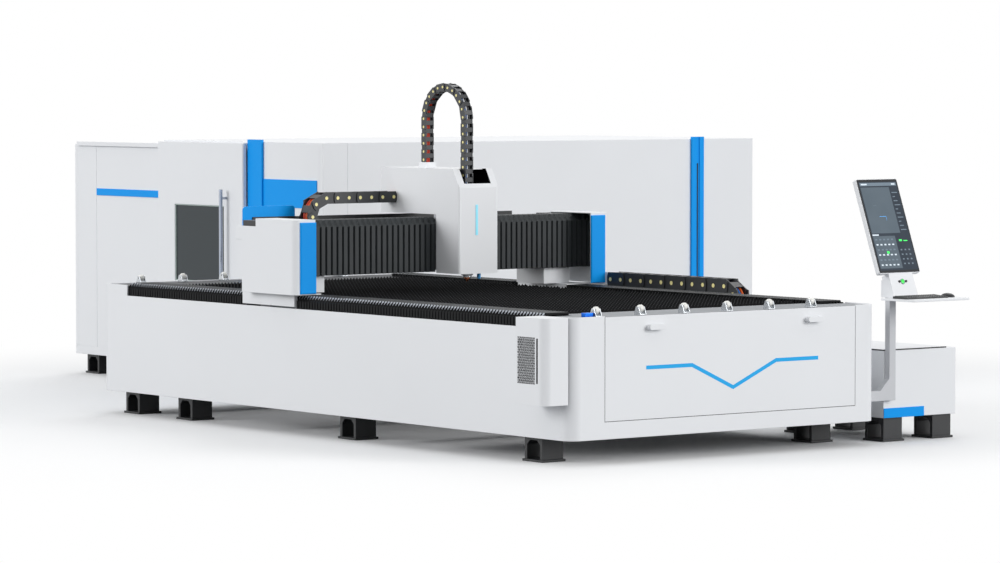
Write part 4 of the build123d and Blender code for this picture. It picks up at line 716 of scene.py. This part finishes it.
# Cabin: insulated sheet walls and a stepped roof on a ring of base rails, all in the white coat.
# Blue enamelled posts cover two of the wall joints, with a bare blue sign plate and a thin blue strip between them.
# A black strip at the bottom of the front post's groove is painted shade in the groove.
for node in ("cabin_front_wall", "cabin_left_wall", "cabin_right_wall", "cabin_back_wall", "cabin_roof"):
    coated(node, node + "_sheet", white_coat, soft_edge)
coated("cabin_base", "cabin_base_coated", white_coat, plate_edge)
for node in ("cabin_pillars", "accent_plates"):
    coated(node, node + "_enamelled", blue_enamel, plate_edge)
groove_shade_black = moulded_plastic("groove_painted_shade", "#0E1013", 0.7)
groove_middle, groove_depth, groove_shade_drop = 56.5 * mm, 8 * mm, 190 * mm
groove_shade_half, groove_shade_thick, groove_shade_sink, groove_shade_edge = 4.5 * mm, 3 * mm, 0.2 * mm, 1 * mm
low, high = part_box("cabin_pillars")
groove_shade_x, groove_shade_y = high.x - groove_middle, low.y + groove_depth
shape = bmesh.new()
soft_block(shape, (groove_shade_x - groove_shade_half, groove_shade_y - groove_shade_thick, low.z),
           (groove_shade_x + groove_shade_half, groove_shade_y + groove_shade_sink, high.z - groove_shade_drop), groove_shade_edge)
fitted(shape, "post_groove_shade", [groove_shade_black], carrier["cabin_pillars"])

# Cabin door: a white sheet leaf hung on a coated steel track, with a smoked laser-safe window in a slim seal.
# Its bar handle is chromed steel tube on two short posts.
coated("cabin_door", "cabin_door_sheet", white_coat, soft_edge)
coated("door_track", "door_track_coated", white_coat, thin_edge)

# Smoked acrylic: dark and smooth, with wiping marks about 250 mm wide in its gloss
smoked = patchy("smoked_laser_glass", {"Base Color": linear("#293236"), "IOR": 1.49, "Specular IOR Level": 0.35},
                250 * mm, 4.0, {"Roughness": (0.1, 0.22)})
recoat("door_window", smoked)
seal_rubber = moulded_plastic("pale_green_glazing_seal", "#A9B8B3", 0.6)
glazing_width, glazing_proud, glazing_lap = 7 * mm, 6 * mm, 1 * mm
low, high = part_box("door_window")
shape = bmesh.new()
for y0, y1, z0, z1 in ((low.y, high.y, high.z - glazing_width, high.z),
                       (low.y, high.y, low.z, low.z + glazing_width),
                       (low.y, low.y + glazing_width, low.z, high.z),
                       (high.y - glazing_width, high.y, low.z, high.z)):
    soft_block(shape, (low.x - glazing_proud, y0, z0), (low.x + glazing_lap, y1, z1), thin_edge)
fitted(shape, "window_seal", [seal_rubber], "door")
chromed = worked_metal("polished_chrome", "#AEB6C4", (0.05, 0.12), 30 * mm, (1, 1, 1))
recoat("door_handle", chromed)

# Laser source inside the cabin: a free-standing cabinet of folded sheet in the white coat.
# It stands on the cabin's base and shows only through the open door.
coated("laser_source", "laser_source_sheet", white_coat, wide_edge)

# Side cabinet: a low folded sheet box in the white coat, on its own feet beside the bed's front end.
# Its thin lid is white on top and has a black rim.
lid_edge, lid_top = 1 * mm, 0.9
coated("side_cabinet", "side_cabinet_sheet", white_coat, soft_edge)
shape = folded("cabinet_lid", lid_edge)
for face in shape.faces:
    face.material_index = int(face.normal.z > lid_top)
stand_in(shape, "cabinet_lid_coated", [black_coat_and_painted_shade, white_coat], "cabinet_lid")

# Console: an L-shaped arm on the bed carries an operating panel, the screen and a shelf for keyboard and mouse.
# The arm gets the frame's grey coat, darker than the white, as painted shade; panel, screen case and shelf are sheet
# steel in the white coat.
coated("console_arm", "console_arm_coated", grey_coat_and_painted_shade, plate_edge)
for node in ("control_panel", "monitor_housing", "keyboard_tray"):
    coated(node, node + "_coated", white_coat, plate_edge)

# Operating panel's controls: a lit green push button in a chromed bezel and two black selector switches.
# All three are screwed through the panel and stand square to its tilted face.
screen_low, screen_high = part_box("monitor_screen")
screen_tilt, glass_thick, glass_margin, button_drop = math.radians(21), 3 * mm, 5 * mm, 52 * mm
corner = Vector(((screen_low.x + screen_high.x) / 2, screen_low.y - glass_margin * math.sin(screen_tilt),
                 screen_low.z + glass_thick * math.sin(screen_tilt) - glass_margin * math.cos(screen_tilt)))
console_axes = Matrix.Translation(corner) @ Matrix.Rotation(-screen_tilt, 4, "X")
out_of_panel = console_axes @ Matrix.Translation((0, 0, -button_drop)) @ Matrix.Rotation(math.pi / 2, 4, "X")

# Button cap: clear green polycarbonate that glows from the lamp behind it, with facets of about 6 mm
green_cap = patchy("lit_green_button_cap", {"Roughness": 0.3, "Base Color": linear("#2ED84A"),
                                            "Emission Strength": 0.35},
                   6 * mm, 1.0, {"Emission Color": ("#16B836", "#3BEA5A")})
button_steps = 32
cap_outline = [(0, -9), (13, -9), (13, 2.5), (12, 4.2), (9, 5), (0, 5)]
bezel_outline = [(14, 0), (18, 0), (18, 1), (16.5, 2.5), (14.5, 2.5), (14, 2)]
shape = bmesh.new()
join(shape, turned(cap_outline, button_steps), out_of_panel)
stand_in(shape, "start_button_cap", [green_cap], "start_button")
shape = bmesh.new()
join(shape, turned(bezel_outline, button_steps, ring=True), out_of_panel)
fitted(shape, "button_bezel", [chromed], "console")
black_abs = moulded_plastic("black_moulded_abs", "#1B1D1F", 0.42)
for node in ("left_selector", "right_selector"):
    recoat(node, black_abs)

# Screen: a sheet of hardened glass, printed black behind its edge, over a backlit picture.
# The picture is plain: a bar, a drawing field with one short cut, a column of values and rows of keys.
# Finger smears about 60 mm wide dull the glass a little.
screen_glass = patchy("printed_screen_glass", {"Base Color": linear("#12171C"), "IOR": 1.52}, 60 * mm, 3.0,
                      {"Roughness": (0.05, 0.14)})
recoat("monitor_screen", screen_glass)


# A lit patch of the picture: the glass gloss over a colour that the backlight carries, a little uneven over 120 mm
def lit_patch(name, code, uneven, strength):
    return patchy(name, {"Base Color": linear(code), "Roughness": 0.12, "Specular IOR Level": 0.3,
                         "Emission Strength": strength}, 120 * mm, 1.0, {"Emission Color": (code, uneven)})


patches = [lit_patch(*look) for look in (
    ("screen_field_grey", "#46525B", "#667079", 0.5), ("screen_dark_blue", "#1C2733", "#565E67", 0.35),
    ("screen_bar_grey", "#5D6A75", "#737F89", 0.6), ("screen_mark_pale", "#B9C3CB", "#B7C1C9", 0.7),
    ("screen_mark_green", "#35DB57", "#5ED577", 0.9), ("screen_line_blue", "#4C9BE0", "#69A1DA", 0.8))]
field, deep, bar, pale, green, line = range(6)

# Tiles of the picture: left, low, right and high edge as shares of the picture, layer above the glass, and colour
tiles = [(0.02, 0.02, 0.98, 0.98, 1, deep), (0.04, 0.935, 0.96, 0.97, 2, bar), (0.04, 0.42, 0.76, 0.92, 2, field),
         (0.04, 0.04, 0.6, 0.39, 2, field), (0.07, 0.945, 0.22, 0.96, 3, pale), (0.84, 0.945, 0.93, 0.96, 3, pale),
         (0.04, 0.395, 0.2, 0.41, 2, pale), (0.68, 0.33, 0.75, 0.35, 2, green), (0.79, 0.33, 0.89, 0.34, 2, green),
         (0.3, 0.2, 0.36, 0.225, 4, green), (0.34, 0.6, 0.5, 0.604, 3, line), (0.5, 0.56, 0.505, 0.604, 3, line),
         (0.24, 0.72, 0.33, 0.722, 3, bar)]
tiles += [(0.08 + 0.1 * column, 0.07 + 0.055 * row, 0.13 + 0.1 * column, 0.085 + 0.055 * row, 3,
           bar if row % 2 else pale) for column in range(5) for row in range(6)]
tiles += [(0.8, 0.45 + 0.045 * row, 0.94 - 0.04 * (row % 3), 0.46 + 0.045 * row, 2, bar) for row in range(10)]
tiles += [(0.66 + 0.1 * column, 0.08 + 0.05 * row, 0.7 + 0.1 * column, 0.095 + 0.05 * row, 2, bar)
          for column in range(3) for row in range(4)]
picture_width, picture_height, picture_low, layer = 315 * mm, 575 * mm, 8 * mm, 0.15 * mm
shape = bmesh.new()
for u0, v0, u1, v1, level, coat in tiles:
    verts = add_block(shape, ((u0 - 0.5) * picture_width, -level * layer, picture_low + v0 * picture_height),
                      ((u1 - 0.5) * picture_width, layer, picture_low + v1 * picture_height))
    paint({face for vert in verts for face in vert.link_faces}, coat)
bmesh.ops.transform(shape, matrix=console_axes, verts=shape.verts)
fitted(shape, "screen_picture", patches, "console")

# Keyboard and mouse: moulded black ABS that lies loose on the shelf.
# The keycaps are separate tapered caps on a sloped case, and the mouse is a low shell with a scroll wheel.
key_pitch, key_size, key_height, front_thick, case_low = 19 * mm, 15.5 * mm, 4.5 * mm, 10 * mm, 4 * mm
key_taper, key_edge, key_sink = 1.6 * mm, 0.8 * mm, 0.2 * mm
key_rows, key_columns, bar_first, bar_last = 6, 17, 4, 9
low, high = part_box("keyboard")
slope = math.atan2(high.z - low.z - front_thick, high.y - low.y)
shape = folded("keyboard", thin_edge)
for vert in shape.verts:
    if vert.co.z > low.z + case_low:
        vert.co.z -= key_height
deck = Matrix.Translation((low.x, low.y, low.z + front_thick - key_height)) @ Matrix.Rotation(slope, 4, "X")
edge_x, edge_y = ((high.x - low.x) - key_columns * key_pitch) / 2, ((high.y - low.y) - key_rows * key_pitch) / 2
for row in range(key_rows):
    for column in range(key_columns):
        if row == 0 and bar_first < column <= bar_last:
            continue
        width = key_size + ((bar_last - bar_first) * key_pitch if row == 0 and column == bar_first else 0)
        key = bmesh.new()
        verts = add_block(key, (0, 0, 0), (width, key_size, key_height))
        for vert in verts:
            if vert.co.z > key_height / 2:
                vert.co.x += math.copysign(key_taper, width / 2 - vert.co.x)
                vert.co.y += math.copysign(key_taper, key_size / 2 - vert.co.y)
        soften(key, verts, key_edge)
        join(shape, key, deck @ Matrix.Translation((edge_x + column * key_pitch, edge_y + row * key_pitch, -key_sink)))
stand_in(shape, "keyboard_with_caps", [black_abs], "keyboard")
mouse_height, mouse_sides, mouse_rings = 24 * mm, 28, 16
scroll_outline, scroll_steps = [(0, -3), (7, -3), (8, 0), (7, 3), (0, 3)], 20
scroll_back, scroll_drop = 26 * mm, 10 * mm
low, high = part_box("mouse")
middle, shape = (low + high) / 2, bmesh.new()
bmesh.ops.create_uvsphere(shape, u_segments=mouse_sides, v_segments=mouse_rings, radius=1)
trim(shape, (0, 0, 0), (0, 0, -1))
bmesh.ops.scale(shape, vec=((high.x - low.x) / 2, (high.y - low.y) / 2, mouse_height), verts=shape.verts)
bmesh.ops.translate(shape, vec=(middle.x, middle.y, low.z), verts=shape.verts)
scroll_place = Vector((middle.x, low.y + scroll_back, low.z + mouse_height - scroll_drop))
join(shape, turned(scroll_outline, scroll_steps),
     Matrix.Translation(scroll_place) @ Matrix.Rotation(math.pi / 2, 4, "Y"))
stand_in(shape, "mouse_shell", [black_abs], "mouse")

# Studio floor: pale matt paint near the machine, which keeps its shadow, running out to plain white further off.
# It throws back less light than the eye sees, so that the machine isn't lit from below.
floor_reach, floor_sides, fade_start, fade_end = 400.0, 96, 3.5, 7.0
floor_paint, shader, place, link = start_material("pale_studio_floor", {"Roughness": 0.95, "Specular IOR Level": 0.2})
paper = add_node(floor_paint, "ShaderNodeEmission", {"Strength": 1.0}, {})
distance = add_node(floor_paint, "ShaderNodeVectorMath", {"operation": "LENGTH"}, {0: place})
fade = add_node(floor_paint, "ShaderNodeMapRange", {"From Min": fade_start, "From Max": fade_end,
                                                    "interpolation_type": "SMOOTHSTEP"},
                {"Value": distance.outputs["Value"]})


# Whether a ray is one that the camera sees directly, in a reflection or through glass
def seen_rays(owner):
    rays = add_node(owner, "ShaderNodeLightPath", {}, {})
    direct = add_node(owner, "ShaderNodeMath", {"operation": "MAXIMUM"},
                      {0: rays.outputs["Is Camera Ray"], 1: rays.outputs["Is Glossy Ray"]})
    return add_node(owner, "ShaderNodeMath", {"operation": "MAXIMUM"},
                    {0: direct.outputs[0], 1: rays.outputs["Is Transmission Ray"]}).outputs[0]


seen = seen_rays(floor_paint)
paint = add_node(floor_paint, "ShaderNodeMix", {"data_type": "RGBA", 6: linear("#808285"), 7: linear("#F6F7F8")},
                 {0: seen})
link(paint.outputs[2], shader.inputs["Base Color"])
share = add_node(floor_paint, "ShaderNodeMath", {"operation": "MULTIPLY"}, {0: seen, 1: fade.outputs["Result"]})
mixed = add_node(floor_paint, "ShaderNodeMixShader", {},
                 {0: share.outputs[0], 1: shader.outputs[0], 2: paper.outputs[0]})
link(mixed.outputs[0], floor_paint.node_tree.nodes["Material Output"].inputs["Surface"])
shape = bmesh.new()
bmesh.ops.create_circle(shape, cap_ends=True, segments=floor_sides, radius=floor_reach)
make_piece(shape, "studio_floor", [floor_paint])

# Studio light: an even white surround at a plain level, large soft lamps far off in front and on the left, and a weak
# one behind on the right.
surround_level, lamp_size, lamp_target = 0.68, 24.0, Vector((0, 0, 0.8))
world = bpy.data.worlds.new("white_studio")
bpy.context.scene.world = world
world.use_nodes = True
plain = world.node_tree.nodes["Background"]
plain.inputs["Color"].default_value, plain.inputs["Strength"].default_value = linear("#FFFFFF"), surround_level
backdrop = add_node(world, "ShaderNodeBackground", {"Color": linear("#FFFFFF"), "Strength": 1.0}, {})
mixed = add_node(world, "ShaderNodeMixShader", {}, {0: seen_rays(world), 1: plain.outputs[0], 2: backdrop.outputs[0]})
world.node_tree.links.new(mixed.outputs[0], world.node_tree.nodes["World Output"].inputs["Surface"])
for name, place, power in (("front_lamp", (17.5, -44.0, 14.0), 11800), ("left_lamp", (-44.0, 17.5, 14.0), 11000),
                           ("back_right_lamp", (25.0, 21.0, 33.0), 3600)):
    lamp = bpy.data.lights.new(name, "AREA")
    lamp.shape, lamp.size, lamp.energy = "DISK", lamp_size, power
    stand = bpy.data.objects.new(name, lamp)
    stand.location, stand.rotation_mode = place, "QUATERNION"
    stand.rotation_quaternion = (lamp_target - Vector(place)).to_track_quat("-Z", "Y")
    bpy.context.scene.collection.objects.link(stand)

# Camera: a long lens off the left front corner, a little above the bed's own height.
# Its place and lens are fitted to the edges of the bed.
lens = bpy.data.cameras.new("photo_camera")
lens.lens, lens.sensor_width, lens.clip_end = 146.43, 36.0, 2000.0
camera = bpy.data.objects.new("photo_camera", lens)
camera.location = (-16.6302, -21.2952, 2.1412)
camera.rotation_euler = (math.radians(90 - 2.849), 0, -math.radians(37.66))
bpy.context.scene.collection.objects.link(camera)
bpy.context.scene.camera = camera
bpy.context.scene.view_settings.view_transform = "Standard"
